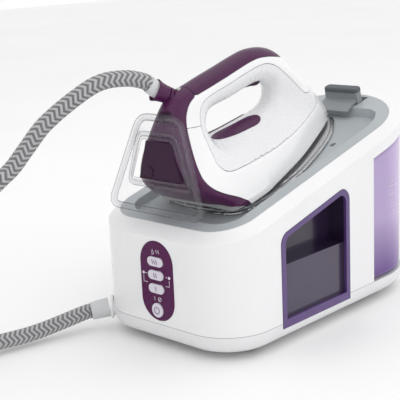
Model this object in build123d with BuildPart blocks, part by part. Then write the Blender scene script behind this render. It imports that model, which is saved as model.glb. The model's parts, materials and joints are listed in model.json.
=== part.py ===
"""Steam generator iron: a base with a sloped tray, a rear water tank, and a parked hand iron.

Frame: the origin is on the floor under the middle of the base. +Z is up, +Y points to the water
tank at the rear, and -Y to the control panel at the front. All lengths are in millimetres.
"""
import os
from math import cos, pi, radians, sin, tan

from build123d import *

os.makedirs("parts", exist_ok=True)

# Base housing
base_width = 185.0
base_length = 334.0
front_corner_radius = 48.0
tray_slope = 14.57  # degrees, rising to the rear
tray_front_height = 113.6
foot_height = 5.0
seam_height = 22.0
wall = 3.0
rim_inset = 12.3
rim_drop = 7.2
rim_land = 0.6
pan_edge_radius = 12.0

# Iron tray
tray_border_thickness = 4.0
recess_inset = 26.0
recess_depth = 9.3
recess_rear_y = 119.5
tray_floor = 2.7

# Water tank bay
tank_front_y = 51.4
bay_roof_drop = 18.5
tank_gap = 1.0
tank_wall = 2.5
tank_bottom_z = 24.0

# Side pocket mouldings
pocket_front_y = -98.3
pocket_rear_y = 8.5
pocket_bottom_z = 17.0
pocket_top_drop = 25.3  # below the tray plane
pocket_rim = 6.0
pocket_split_z = 76.0

# Control panel
panel_width = 42.0
panel_height = 77.0
panel_center_z = 64.5
mode_button_z = (83.6, 70.6, 57.5)
mode_button_width = 19.5
mode_button_height = 9.0
power_button_z = 36.5
power_button_diameter = 14.0
button_travel = 1.0
lens_diameter = 3.0

# Lock lever, measured up the tray slope from the front of the base and out of the tray
lever_s = 305.2
lever_width = 42.0
lever_height = 13.0
lever_pin_s = 310.0
lever_pin_w = -4.6
lever_barrel_radius = 4.4
lever_slot_rear_s = 326.0
catch_half_width = 20.0

# Iron, measured from the heel of the soleplate along the tray slope
iron_heel_s = 56.0
sole_length = 228.0
sole_half_width = 57.0
sole_thickness = 3.0
body_length = 222.0
body_half_width = 56.5
skirt_top_w = 7.5
body_bottom_w = 8.5
chamber_height = 9.0
handle_top_w = 107.0
handle_split_w = 58.0
opening_bottom_w = 60.0
trigger_pivot = (92.0, 92.0)

# Steam hose and power cord
hose_diameter = 15.0
cuff_diameter = 19.0
cord_diameter = 7.0
port_angle = 45.0  # degrees round the front left corner
port_height = 19.5
swivel_u = 14.0
swivel_w = 108.0
swivel_clearance = 16.0
hose_heading = (-0.45, -0.893)

running_gap = 0.3
base_front_y = -base_length / 2
rear_center_y = base_length / 2 - base_width / 2
tray_plane = Plane(origin=(0, base_front_y, tray_front_height), x_dir=(1, 0, 0),
                   z_dir=(0, -sin(radians(tray_slope)), cos(radians(tray_slope))))
slope_dir = tray_plane.y_dir
side_plane = Plane(origin=(0, base_front_y, tray_front_height), x_dir=slope_dir, z_dir=(1, 0, 0))
iron_origin = tray_plane.from_local_coords((0, iron_heel_s, -9.0))
iron_plane = Plane(origin=iron_origin, x_dir=(1, 0, 0), z_dir=tray_plane.z_dir)
iron_side_plane = Plane(origin=iron_origin, x_dir=slope_dir, z_dir=(1, 0, 0))
panel_plane = Plane(origin=(0, base_front_y, 0), x_dir=(1, 0, 0), z_dir=(0, -1, 0))
port_out = Vector(-cos(radians(port_angle)), -sin(radians(port_angle)), 0)
corner_center = Vector(-base_width / 2 + front_corner_radius, base_front_y + front_corner_radius, port_height)
port_plane = Plane(origin=corner_center + port_out * front_corner_radius, z_dir=port_out)
port_neck_radius = 9.0
cord_y = 20.0
cord_z = 34.0
block_height = 260.0


def finish(piece, name):
    """Label a finished piece and write it to its own file."""
    piece.part.label = name
    export_step(piece.part, f"parts/{name}.step")


def footprint(plane, inset=0.0):
    """Sketch the base outline: a rounded front and a half-round rear, moved inwards."""
    half_width = base_width / 2 - inset
    front = base_front_y + inset
    with BuildSketch(plane) as outline:
        with Locations((0, (front + rear_center_y) / 2)):
            Rectangle(2 * half_width, rear_center_y - front)
        fillet(outline.vertices().group_by(Axis.Y)[0], front_corner_radius - inset)
        with Locations((0, rear_center_y)):
            Circle(half_width)
    return outline.sketch


def slab(center_y, length, plane):
    """Sketch a full-width rectangle that spans a length of the base."""
    with BuildSketch(plane) as outline:
        with Locations((0, center_y)):
            Rectangle(2 * base_width, length)
    return outline.sketch


def sloped_prism(inset, lower_drop, upper_drop, rear_y=base_length):
    """Base outline between two planes that lie below the tray plane, up to a rear limit."""
    with BuildPart() as prism:
        extrude(footprint(Plane.XY, inset), amount=block_height)
        extrude(slab(rear_y - base_length, 2 * base_length, Plane.XY), amount=block_height,
                mode=Mode.INTERSECT)
        split(bisect_by=tray_plane.offset(-upper_drop), keep=Keep.BOTTOM)
        split(bisect_by=tray_plane.offset(-lower_drop), keep=Keep.TOP)
    return prism.part


def lower_prism(inset, bottom, drop, front_y, rear_y):
    """Base outline between a level and a sloped plane, over a stretch of its length."""
    with BuildPart() as prism:
        extrude(footprint(Plane.XY.offset(bottom), inset), amount=block_height)
        extrude(slab((front_y + rear_y) / 2, rear_y - front_y, Plane.XY.offset(bottom)),
                amount=block_height, mode=Mode.INTERSECT)
        split(bisect_by=tray_plane.offset(-drop), keep=Keep.BOTTOM)
    return prism.part


def pocket_profile(plane, inset, bottom, corner, top_drop):
    """Sketch a side pocket outline: upright sides, a level bottom and a top that follows the slope."""
    front = pocket_front_y + inset
    rear = pocket_rear_y - inset
    top_front = tray_front_height + (front - base_front_y) * tan(radians(tray_slope)) - top_drop
    top_rear = tray_front_height + (rear - base_front_y) * tan(radians(tray_slope)) - top_drop
    with BuildSketch(plane) as outline:
        with BuildLine():
            Polyline((front, bottom), (rear, bottom), (rear, top_rear), (front, top_front), close=True)
        make_face()
        fillet(outline.vertices().sort_by(Axis.Y)[-2:], corner)
    return outline.sketch


def pill(plane, width, height, z, center_x=0.0):
    """Sketch a pill shape centred over a height."""
    with BuildSketch(plane) as outline:
        with Locations((center_x, z)):
            if height > width:
                SlotOverall(height, width, rotation=90)
            else:
                SlotOverall(width, height)
    return outline.sketch


def tube_along(points, diameter, tangents=None, frenet=False):
    """Round bar swept along a smooth line."""
    with BuildPart() as bar:
        with BuildLine():
            route = Spline(*points, tangents=tangents)
        with BuildSketch(Plane(origin=route @ 0, z_dir=route % 0)):
            Circle(diameter / 2)
        sweep(is_frenet=frenet)
    return bar.part


screw_places = [(x, y) for x in (-76, 76) for y in (-122, 34)]
foot_places = [(x, y) for x in (-62, 62) for y in (-118, 62)]
boss_top = 48.0

# ---------------------------------------------------------------- base housing
with BuildPart() as upper_shell:
    extrude(footprint(Plane.XY.offset(seam_height)), amount=block_height)
    split(bisect_by=tray_plane, keep=Keep.BOTTOM)
    top_face = upper_shell.faces().filter_by(lambda f: f.normal_at().Z > 0.9)[0]
    chamfer(top_face.outer_wire().edges(), length=rim_inset - rim_land, length2=rim_drop, reference=top_face)
    add(sloped_prism(rim_inset, tray_border_thickness, -5), mode=Mode.SUBTRACT)
    add(sloped_prism(rim_inset + wall, bay_roof_drop - wall, -5), mode=Mode.SUBTRACT)
    add(lower_prism(wall, seam_height, rim_drop + wall, base_front_y, tank_front_y - wall),
        mode=Mode.SUBTRACT)
    add(lower_prism(-5, seam_height, bay_roof_drop, tank_front_y, base_length), mode=Mode.SUBTRACT)
    for x_sign in (-1, 1):
        extrude(pocket_profile(Plane.YZ.offset(x_sign * base_width / 2), -running_gap, seam_height - 8, 12,
                       pocket_top_drop - running_gap), amount=5, both=True, mode=Mode.SUBTRACT)
    panel_opening = pill(panel_plane, panel_width + 2 * running_gap, panel_height + 2 * running_gap,
                         panel_center_z)
    extrude(panel_opening, amount=wall + 1, both=True, mode=Mode.SUBTRACT)
    with BuildSketch(Plane.XY.offset(seam_height)):
        with Locations(screw_places):
            Circle(5)
        with Locations([(x * 83 / 76, y) for x, y in screw_places]):
            Rectangle(14, 3)
    extrude(amount=boss_top - seam_height)
    with BuildSketch(Plane.XY.offset(seam_height)):
        with Locations(screw_places):
            Circle(2.1)
    extrude(amount=boss_top - seam_height - 4, mode=Mode.SUBTRACT)
    with BuildSketch(Plane.XZ.offset(-tank_front_y)):
        with Locations((-42, 40)):
            Circle(8.2)
    extrude(amount=wall + 1, both=True, mode=Mode.SUBTRACT)
    with BuildSketch(Plane.YZ.offset(-base_width / 2)):
        with Locations((cord_y, cord_z)):
            Circle(5.7)
    extrude(amount=wall + 1, both=True, mode=Mode.SUBTRACT)
    with BuildSketch(port_plane):
        Circle(port_neck_radius + running_gap)
    extrude(amount=12, both=True, mode=Mode.SUBTRACT)
finish(upper_shell, "upper_shell")

with BuildPart() as bottom_pan:
    extrude(footprint(Plane.XY.offset(foot_height)), amount=seam_height - foot_height)
    fillet(bottom_pan.edges().group_by(Axis.Z)[0], pan_edge_radius)
    add(lower_prism(wall + 4, foot_height + wall, 0, base_front_y, tank_front_y - wall),
        mode=Mode.SUBTRACT)
    with BuildSketch(Plane.XY.offset(foot_height)):
        with Locations((0, rear_center_y + 6)):
            Rectangle(base_width - 50, 2 * wall + 60)
    extrude(amount=seam_height - foot_height - wall, mode=Mode.SUBTRACT)
    for x_sign in (-1, 1):
        extrude(pocket_profile(Plane.YZ.offset(x_sign * base_width / 2), -running_gap,
                       pocket_bottom_z - running_gap, 12, pocket_top_drop), amount=8, both=True,
                mode=Mode.SUBTRACT)
    with BuildSketch(Plane.XY.offset(foot_height + wall - 1)):
        with Locations(screw_places):
            Circle(6)
    extrude(amount=seam_height - foot_height - wall + 1)
    with BuildSketch(Plane.XY.offset(foot_height)):
        with Locations(screw_places):
            Circle(2.4)
    extrude(amount=seam_height - foot_height, mode=Mode.SUBTRACT)
    with BuildSketch(Plane.XY.offset(foot_height)):
        with Locations(screw_places):
            Circle(4.6)
    extrude(amount=6, mode=Mode.SUBTRACT)
    with BuildSketch(Plane.XY.offset(foot_height)):
        with Locations(foot_places):
            Circle(9.2)
    extrude(amount=2, mode=Mode.SUBTRACT)
    with BuildSketch(port_plane):
        Circle(port_neck_radius + running_gap)
    extrude(amount=12, both=True, mode=Mode.SUBTRACT)
finish(bottom_pan, "bottom_pan")

with BuildPart() as rubber_feet:
    with BuildSketch():
        with Locations(foot_places):
            Circle(8)
    extrude(amount=foot_height)
    with BuildSketch(Plane.XY.offset(foot_height)):
        with Locations(foot_places):
            Circle(9)
    extrude(amount=2)
    chamfer(rubber_feet.edges().group_by(Axis.Z)[0], 1)
finish(rubber_feet, "rubber_feet")

with BuildPart() as base_screws:
    with BuildSketch(Plane.XY.offset(foot_height + 2.5)):
        with Locations(screw_places):
            Circle(4)
    extrude(amount=3)
    with BuildSketch(Plane.XY.offset(foot_height + 5.5)):
        with Locations(screw_places):
            Circle(2)
    extrude(amount=30)
    with BuildSketch(Plane.XY.offset(foot_height + 2.5)):
        with Locations(screw_places):
            Rectangle(4.6, 1)
            Rectangle(1, 4.6)
    extrude(amount=1.4, mode=Mode.SUBTRACT)
finish(base_screws, "base_screws")

# ---------------------------------------------------------------- iron tray
tray_tub_depth = recess_depth + tray_floor
drain_s = 223.0
drain_x = 43.0
recess_corner_radius = 22.0
lug_x = lever_width / 2 + 2.8
with BuildPart() as recess:
    add(sloped_prism(recess_inset, recess_depth, -5, recess_rear_y))
    fillet(recess.edges().filter_by(Axis.Z).group_by(Axis.Y)[-1], recess_corner_radius)

with BuildPart() as iron_tray:
    add(sloped_prism(rim_inset + running_gap, tray_border_thickness - 0.1, 0))
    add(sloped_prism(recess_inset - tray_floor, tray_tub_depth, 0, recess_rear_y + tray_floor))
    add(recess.part, mode=Mode.SUBTRACT)
    with BuildSketch(tray_plane.offset(-recess_depth)):
        with Locations((drain_x, drain_s), (-drain_x, drain_s)):
            Ellipse(2.5, 4.5)
    extrude(amount=-tray_floor - 1, mode=Mode.SUBTRACT)
    with BuildSketch(tray_plane):
        with Locations((0, (lever_s - 0.5 + lever_slot_rear_s) / 2)):
            Rectangle(lever_width + 1, lever_slot_rear_s - lever_s + 0.5)
    extrude(amount=-tray_border_thickness - 1, mode=Mode.SUBTRACT)
    for x_sign in (-1, 1):
        with BuildSketch(side_plane.offset(x_sign * lug_x)):
            with Locations((lever_pin_s, lever_pin_w)):
                Circle(4)
            with Locations((lever_pin_s, lever_pin_w + 1.4)):
                Rectangle(8, 4)
        extrude(amount=2, both=True)
        with BuildSketch(side_plane.offset(x_sign * lug_x)):
            with Locations((lever_pin_s, lever_pin_w)):
                Circle(2.05)
        extrude(amount=4, both=True, mode=Mode.SUBTRACT)
finish(iron_tray, "iron_tray")

# ---------------------------------------------------------------- side pocket mouldings
with BuildPart() as side_pocket_right:
    face_x = base_width / 2 + 0.6
    face_plane = Plane.YZ.offset(face_x)
    extrude(pocket_profile(face_plane, 0, pocket_bottom_z, 12, pocket_top_drop), amount=-7.6)
    extrude(pocket_profile(face_plane, pocket_rim - 2, pocket_split_z - 4, 10, pocket_top_drop + 3),
            amount=-23)
    extrude(pocket_profile(face_plane, pocket_rim, pocket_bottom_z + 8, 8, pocket_top_drop + 5),
            amount=-4.5, mode=Mode.SUBTRACT)
    extrude(pocket_profile(face_plane, pocket_rim, pocket_split_z, 8, pocket_top_drop + 5),
            amount=-20.5, mode=Mode.SUBTRACT)
finish(side_pocket_right, "side_pocket_right")

with BuildPart() as side_pocket_left:
    mirror(side_pocket_right.part, about=Plane.YZ)
finish(side_pocket_left, "side_pocket_left")

# ---------------------------------------------------------------- control panel
button_proud = 2.6
panel_proud = 1.0
lens_places = [(-16.7, mode_button_z[1]), (16.7, mode_button_z[1])]
panel_thickness = 2.6
with BuildPart() as control_panel:
    extrude(pill(panel_plane.offset(panel_proud), panel_width, panel_height, panel_center_z),
            amount=-panel_thickness)
    chamfer(control_panel.faces().sort_by(Axis.Y)[0].edges(), 0.8)
    extrude(pill(panel_plane.offset(-wall - 0.1), panel_width + 3, panel_height + 1.2, panel_center_z),
            amount=-1.5)
    extrude(pill(panel_plane.offset(panel_proud), panel_width - 4, panel_height - 4, panel_center_z),
            amount=-panel_thickness - wall)
    for z in mode_button_z:
        extrude(pill(panel_plane.offset(5), mode_button_width + 2 * running_gap,
                     mode_button_height + 2 * running_gap, z), amount=-20, mode=Mode.SUBTRACT)
    with BuildSketch(panel_plane.offset(5)):
        with Locations((0, power_button_z)):
            Circle(power_button_diameter / 2 + running_gap)
        with Locations(*lens_places):
            Circle(lens_diameter / 2 + 0.1)
    extrude(amount=-20, mode=Mode.SUBTRACT)
finish(control_panel, "control_panel")

panel_back = panel_thickness + wall - panel_proud
for name, z in zip(("steam_high_button", "steam_medium_button", "steam_low_button"), mode_button_z):
    with BuildPart() as mode_button:
        extrude(pill(panel_plane.offset(button_proud), mode_button_width, mode_button_height, z),
                amount=-button_proud - panel_back - 0.3)
        fillet(mode_button.faces().sort_by(Axis.Y)[0].edges(), 0.8)
        extrude(pill(panel_plane.offset(-panel_back - 0.3), mode_button_width + 2.4,
                     mode_button_height + 2.4, z), amount=-1.2)
    finish(mode_button, name)

with BuildPart() as power_button:
    with BuildSketch(panel_plane.offset(button_proud)):
        with Locations((0, power_button_z)):
            Circle(power_button_diameter / 2)
    extrude(amount=-button_proud - panel_back - 0.3)
    fillet(power_button.faces().sort_by(Axis.Y)[0].edges(), 0.8)
    with BuildSketch(panel_plane.offset(-panel_back - 0.3)):
        with Locations((0, power_button_z)):
            Circle(power_button_diameter / 2 + 1.4)
    extrude(amount=-1.2)
finish(power_button, "power_button")

with BuildPart() as indicator_lenses:
    with BuildSketch(panel_plane.offset(panel_proud + 0.3)):
        with Locations(*lens_places):
            Circle(lens_diameter / 2)
    extrude(amount=-panel_thickness - wall)
    fillet(indicator_lenses.faces().sort_by(Axis.Y)[:2].edges(), 0.5)
finish(indicator_lenses, "indicator_lenses")

switch_front = panel_back + 1.5 + button_travel + 0.4
board_front = switch_front + 3.5
with BuildPart() as control_board:
    with BuildSketch(panel_plane.offset(-board_front)):
        with Locations((0, panel_center_z - 2)):
            RectangleRounded(44, 70, 3)
    extrude(amount=-1.6)
    with BuildSketch(panel_plane.offset(-board_front)):
        with Locations(*[(0, z) for z in mode_button_z + (power_button_z,)]):
            Rectangle(6, 6)
    extrude(amount=2.6)
    with BuildSketch(panel_plane.offset(-board_front)):
        with Locations(*[(0, z) for z in mode_button_z + (power_button_z,)]):
            Circle(1.7)
    extrude(amount=3.5)
    with BuildSketch(panel_plane.offset(-board_front)):
        with Locations(*lens_places):
            Circle(1.5)
    extrude(amount=2.5)
    with BuildSketch(panel_plane.offset(-board_front - 1.6)):
        with Locations((6, panel_center_z - 14)):
            Rectangle(14, 14)
        with Locations((-12, panel_center_z - 28)):
            Rectangle(12, 6)
    extrude(amount=-2.2)
finish(control_board, "control_board")

# ---------------------------------------------------------------- lock lever
lever_back_s = lever_pin_s + lever_barrel_radius
with BuildPart() as lock_lever:
    with BuildSketch(side_plane.offset(-lever_width / 2)):
        with Locations((lever_pin_s, lever_pin_w)):
            Circle(lever_barrel_radius)
        with BuildLine():
            Polyline((lever_pin_s - lever_barrel_radius, lever_pin_w), (lever_s, 1),
                     (lever_s + 1, lever_height), (lever_back_s - 0.6, lever_height),
                     (lever_back_s, lever_pin_w), close=True)
        make_face()
        with Locations((lever_pin_s, lever_pin_w)):
            Circle(2.06, mode=Mode.SUBTRACT)
    extrude(amount=lever_width)
    with BuildSketch(side_plane.offset(-catch_half_width)):
        with BuildLine():
            Polyline((lever_s + 2, 2.5), (lever_s - 6, 1.8), (lever_s - 19, -2.4), (lever_s - 19, -0.6),
                     (lever_s - 5, 4.6), (lever_s + 2, 6.5), close=True)
        make_face()
    extrude(amount=2 * catch_half_width)
    with BuildSketch(side_plane.offset(-3)):
        with Locations((lever_pin_s, lever_pin_w)):
            Circle(5)
    extrude(amount=-14, mode=Mode.SUBTRACT)
finish(lock_lever, "lock_lever")

with BuildPart() as lever_pad:
    with BuildSketch(tray_plane.offset(lever_height)):
        with Locations((0, (lever_s + lever_back_s) / 2 + 0.6)):
            RectangleRounded(lever_width + 2, lever_back_s - lever_s + 3, 5)
    extrude(amount=4.5)
    fillet(lever_pad.faces().sort_by(Axis(tray_plane.origin, tray_plane.z_dir))[-1].edges(), 2.2)
finish(lever_pad, "lever_pad")

with BuildPart() as lever_pin:
    with BuildSketch(side_plane.offset(-lever_width / 2 - 6)):
        with Locations((lever_pin_s, lever_pin_w)):
            Circle(2)
    extrude(amount=lever_width + 12)
finish(lever_pin, "lever_pin")

with BuildPart() as lever_spring:
    for turn in range(5):
        with BuildSketch(side_plane.offset(-15.6 + 2.2 * turn)):
            with Locations((lever_pin_s, lever_pin_w)):
                Circle(3.6)
                Circle(2.3, mode=Mode.SUBTRACT)
        extrude(amount=1.6)
    with BuildSketch(side_plane.offset(-15.6)):
        with Locations((lever_pin_s - 2.95, lever_pin_w)):
            Rectangle(1.2, 1.2)
    extrude(amount=10.4)
finish(lever_spring, "lever_spring")

# ---------------------------------------------------------------- water tank
flap_half_width = 20.0
flap_hinge_y = base_length / 2 - tank_gap - 2.7
flap_hinge_z = 137.0
flap_bottom_z = 140.2
flap_top_z = 168.0
flap_side_gap = 0.4
flap_swing_gap = 1.0  # below the flap, where its lower edge swings down as it opens
barrel_half_length = 10.0
spigot_x = -42.0
spigot_z = 40.0
tank_outer = lower_prism(tank_gap, tank_bottom_z, bay_roof_drop + tank_gap, tank_front_y + tank_gap,
                         base_length)
tank_inner = lower_prism(tank_gap + tank_wall, tank_bottom_z + tank_wall,
                         bay_roof_drop + tank_gap + tank_wall, tank_front_y + tank_gap + tank_wall,
                         base_length)
with BuildPart() as water_tank:
    add(tank_outer)
    fillet(water_tank.edges().filter_by(lambda e: e.center().Z > 130 and e.length > 60), 4)
    fillet(water_tank.edges().group_by(Axis.Z)[0], 4)
    add(tank_inner, mode=Mode.SUBTRACT)
    with BuildSketch(Plane.XZ.offset(-base_length / 2 + 15)):
        with Locations((0, (flap_bottom_z - flap_swing_gap + flap_top_z + flap_side_gap) / 2)):
            Rectangle(2 * (flap_half_width + flap_side_gap),
                      flap_top_z + flap_side_gap - flap_bottom_z + flap_swing_gap)
        with Locations((0, flap_hinge_z)):
            Rectangle(2 * barrel_half_length + 1, 9)
    extrude(amount=-30, mode=Mode.SUBTRACT)
    for x_sign in (-1, 1):
        with BuildSketch(Plane.YZ.offset(x_sign * (barrel_half_length + 2.5))):
            with Locations((flap_hinge_y, flap_hinge_z)):
                Circle(2.6)
                Circle(1.05, mode=Mode.SUBTRACT)
        extrude(amount=2, both=True)
    with BuildSketch(Plane.YZ):
        with Locations((flap_hinge_y, flap_hinge_z)):
            Circle(1.05)
    extrude(amount=barrel_half_length + 6, both=True, mode=Mode.SUBTRACT)
    with BuildSketch(Plane.XZ.offset(-tank_front_y)):
        with Locations((spigot_x, spigot_z)):
            Circle(6.1)
    extrude(amount=-8, mode=Mode.SUBTRACT)
finish(water_tank, "water_tank")

with BuildPart() as tank_flap:
    add(tank_outer)
    add(tank_inner, mode=Mode.SUBTRACT)
    with BuildSketch(Plane.XZ.offset(-base_length / 2 + 15)):
        with Locations((0, (flap_bottom_z + flap_top_z) / 2)):
            Rectangle(2 * flap_half_width, flap_top_z - flap_bottom_z)
    extrude(amount=-30, mode=Mode.INTERSECT)
    with BuildSketch(Plane.YZ):
        with Locations((flap_hinge_y, flap_hinge_z)):
            Circle(2.5)
        with Locations((flap_hinge_y + 1.2, (flap_hinge_z + flap_bottom_z) / 2 + 0.4)):
            Rectangle(2, flap_bottom_z - flap_hinge_z)
        with Locations((flap_hinge_y, flap_hinge_z)):
            Circle(1.06, mode=Mode.SUBTRACT)
    extrude(amount=barrel_half_length, both=True)
finish(tank_flap, "tank_flap")

with BuildPart() as flap_pin:
    with BuildSketch(Plane.YZ):
        with Locations((flap_hinge_y, flap_hinge_z)):
            Circle(1.0)
    extrude(amount=barrel_half_length + 4.5, both=True)
finish(flap_pin, "flap_pin")

with BuildPart() as tank_valve:
    spigot_plane = Plane.XZ.offset(-tank_front_y + 7)
    with BuildSketch(spigot_plane):
        with Locations((spigot_x, spigot_z)):
            Circle(6)
    extrude(amount=-18)
    with BuildSketch(Plane.XZ.offset(-tank_front_y - tank_gap - tank_wall)):
        with Locations((spigot_x, spigot_z)):
            Circle(10)
    extrude(amount=-3)
    with BuildSketch(spigot_plane):
        with Locations((spigot_x, spigot_z)):
            Circle(3.5)
    extrude(amount=-18, mode=Mode.SUBTRACT)
finish(tank_valve, "tank_valve")

with BuildPart() as tank_coupling:
    with BuildSketch(Plane.XZ.offset(-tank_front_y)):
        with Locations((spigot_x, spigot_z)):
            Circle(8)
    extrude(amount=14)
    with BuildSketch(Plane.XZ.offset(-tank_front_y + wall)):
        with Locations((spigot_x, spigot_z)):
            Circle(11)
    extrude(amount=3)
    with BuildSketch(Plane.XZ.offset(-tank_front_y + 14)):
        with Locations((spigot_x, spigot_z)):
            Circle(4)
    extrude(amount=8)
    with BuildSketch(Plane.XZ.offset(-tank_front_y)):
        with Locations((spigot_x, spigot_z)):
            Circle(6.3)
    extrude(amount=12, mode=Mode.SUBTRACT)
    with BuildSketch(Plane.XZ.offset(-tank_front_y)):
        with Locations((spigot_x, spigot_z)):
            Circle(2)
    extrude(amount=24, mode=Mode.SUBTRACT)
finish(tank_coupling, "tank_coupling")

# ---------------------------------------------------------------- boiler, pump and valve
boiler_x = 20.0
boiler_y = -55.0
boiler_radius = 42.0
boiler_bottom = 15.0
boiler_top = 92.0
heater_ring_radius = 27.0
heater_terminals = [(boiler_x + heater_ring_radius, boiler_y + y) for y in (-6, 6)]
water_port = (0.0, -70.0)
steam_port = (8.0, -84.0)
with BuildPart() as steam_boiler:
    with BuildSketch(Plane.XY.offset(boiler_bottom)):
        with Locations((boiler_x, boiler_y)):
            Circle(boiler_radius)
    extrude(amount=boiler_top - boiler_bottom)
    fillet(steam_boiler.edges(), 7)
    with BuildSketch(Plane.XY.offset(boiler_bottom + 1.5)):
        with Locations((boiler_x, boiler_y)):
            Circle(boiler_radius - 8)
    extrude(amount=boiler_top - boiler_bottom - 3, mode=Mode.SUBTRACT)
    with BuildSketch(Plane.XY.offset(boiler_top)):
        with Locations(water_port, steam_port):
            Circle(4.5)
    extrude(amount=5)
    with BuildSketch(Plane.XY.offset(boiler_top - 4)):
        with Locations(water_port, steam_port):
            Circle(2.5)
        with Locations((boiler_x, boiler_y)):
            Circle(4.1)
    extrude(amount=12, mode=Mode.SUBTRACT)
    with BuildSketch(Plane.XY.offset(boiler_bottom - 1)):
        with Locations(heater_terminals):
            Circle(3.6)
    extrude(amount=6, mode=Mode.SUBTRACT)
finish(steam_boiler, "steam_boiler")

with BuildPart() as boiler_heater:
    with BuildLine():
        ring_path = CenterArc((boiler_x, boiler_y, 26), heater_ring_radius, 12.8, 334.4)
    with BuildSketch(Plane(origin=ring_path @ 0, z_dir=ring_path % 0)):
        Circle(3.3)
    sweep()
    with BuildSketch(Plane.XY.offset(11)):
        with Locations(heater_terminals):
            Circle(3.3)
    extrude(amount=15)
finish(boiler_heater, "boiler_heater")

with BuildPart() as safety_valve:
    with BuildSketch(Plane.XY.offset(boiler_top - 3)):
        with Locations((boiler_x, boiler_y)):
            Circle(4)
    extrude(amount=4)
    with BuildSketch(Plane.XY.offset(boiler_top + 0.2)):
        with Locations((boiler_x, boiler_y)):
            RegularPolygon(8, 6)
    extrude(amount=8)
    with BuildSketch(Plane.XY.offset(boiler_top + 8)):
        with Locations((boiler_x, boiler_y)):
            Circle(5.5)
    extrude(amount=9)
finish(safety_valve, "safety_valve")

pump_center = (-44.0, 38.0)
pump_rear_y = 18.0
with BuildPart() as water_pump:
    for radius, start, length in ((20, 0, 26), (14, 26, 26), (3.5, -10, 10), (3.5, 52, 12)):
        with BuildSketch(Plane.XZ.offset(-pump_rear_y + start)):
            with Locations(pump_center):
                Circle(radius)
        extrude(amount=length)
    with BuildSketch(Plane.XY.offset(foot_height + wall + 0.1)):
        with Locations((pump_center[0], pump_rear_y - 13)):
            Rectangle(26, 18)
    extrude(amount=14)
finish(water_pump, "water_pump")

valve_x = -36.0
valve_y = -118.0
with BuildPart() as steam_valve:
    with BuildSketch(Plane.XY.offset(foot_height + wall + 0.1)):
        with Locations((valve_x, valve_y)):
            RectangleRounded(32, 26, 3)
    extrude(amount=36)
    with BuildSketch(Plane.XY.offset(foot_height + wall + 36)):
        with Locations((valve_x, valve_y)):
            Circle(12)
    extrude(amount=24)
    with BuildSketch(Plane.YZ.offset(valve_x - 22)):
        with Locations((valve_y, 24)):
            Circle(3.5)
    extrude(amount=44)
finish(steam_valve, "steam_valve")

power_board_y = 44.0
with BuildPart() as power_board:
    with BuildSketch(Plane.XZ.offset(-power_board_y)):
        with Locations((30, 60)):
            RectangleRounded(72, 56, 2)
    extrude(amount=1.6)
    with BuildSketch(Plane.XZ.offset(-power_board_y + 1.6)):
        with Locations((12, 48)):
            RectangleRounded(24, 22, 1)
        with Locations((42, 70)):
            Rectangle(18, 16)
        with Locations((42, 46), (56, 46)):
            Circle(5)
    extrude(amount=14)
finish(power_board, "power_board")

with BuildPart() as water_tube:
    add(tube_along([(pump_center[0], pump_rear_y - 65, pump_center[1]), (-42, -62, 42), (-36, -76, 72),
                    (-14, -80, 104), (water_port[0], water_port[1], boiler_top + 5.2)], 6,
                   tangents=[(0, -1, 0), (0, 0, -1)]))
finish(water_tube, "water_tube")

with BuildPart() as steam_tube:
    add(tube_along([(steam_port[0], steam_port[1], boiler_top + 5.2), (6, -96, 98), (1, -113, 72),
                    (-6, -118, 36), (valve_x + 22.3, valve_y, 24)], 6, tangents=[(0, 0, 1), (-1, 0, 0)]))
finish(steam_tube, "steam_tube")

port_inner = corner_center + port_out * (front_corner_radius - 13)
with BuildPart() as outlet_tube:
    add(tube_along([(valve_x - 22.3, valve_y, 24), (port_inner.X, port_inner.Y, port_inner.Z)], 6,
                   tangents=[(-1, 0, 0), (port_out.X, port_out.Y, 0)]))
finish(outlet_tube, "outlet_tube")

# ---------------------------------------------------------------- hose port
port_flange_radius = 12.0
cuff_out = Vector(-0.60, -0.786, -0.15).normalized()
cuff_start = port_plane.origin + port_out * 3.6
cuff_plane = Plane(origin=cuff_start, z_dir=cuff_out)
with BuildPart() as hose_flange:
    with BuildSketch(port_plane.offset(0.6)):
        Ellipse(port_flange_radius - 2, port_flange_radius)
    extrude(amount=3)
    fillet(hose_flange.edges(), 1.2)
    with BuildSketch(port_plane.offset(-12.5)):
        Circle(port_neck_radius)
    extrude(amount=13.5)
    with BuildSketch(port_plane.offset(-12.5)):
        Circle(3.5)
    extrude(amount=4, mode=Mode.SUBTRACT)
finish(hose_flange, "hose_flange")

lower_cuff_length = 19.0
with BuildPart() as lower_hose_cuff:
    with BuildSketch(cuff_plane.offset(0.8)):
        Circle(cuff_diameter / 2)
    extrude(amount=lower_cuff_length)
    split(bisect_by=port_plane.offset(3.7), keep=Keep.TOP)
finish(lower_hose_cuff, "lower_hose_cuff")

# ---------------------------------------------------------------- power cord
cord_plane = Plane.YZ.offset(-base_width / 2)
coil_x = -160.0
coil_y = 72.0
coil_radius = 46.0
coil_turns = 3
coil_pitch = 8.0
with BuildPart() as cord_grommet:
    with BuildSketch(cord_plane.offset(wall + 3)):
        with Locations((cord_y, cord_z)):
            Circle(5.4)
    extrude(amount=-wall - 4)
    with BuildSketch(cord_plane.offset(-0.2)):
        with Locations((cord_y, cord_z)):
            Circle(7.5)
    extrude(amount=-2)
    with BuildSketch(cord_plane.offset(wall + 0.2)):
        with Locations((cord_y, cord_z)):
            Circle(7.5)
    extrude(amount=2)
    with BuildSketch(cord_plane.offset(-2)):
        with Locations((cord_y, cord_z)):
            Circle(5.6)
    extrude(amount=-14, taper=4)
    with BuildSketch(cord_plane.offset(wall + 4)):
        with Locations((cord_y, cord_z)):
            Circle(cord_diameter / 2 + 0.4)
    extrude(amount=-40, mode=Mode.SUBTRACT)
finish(cord_grommet, "cord_grommet")

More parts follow.
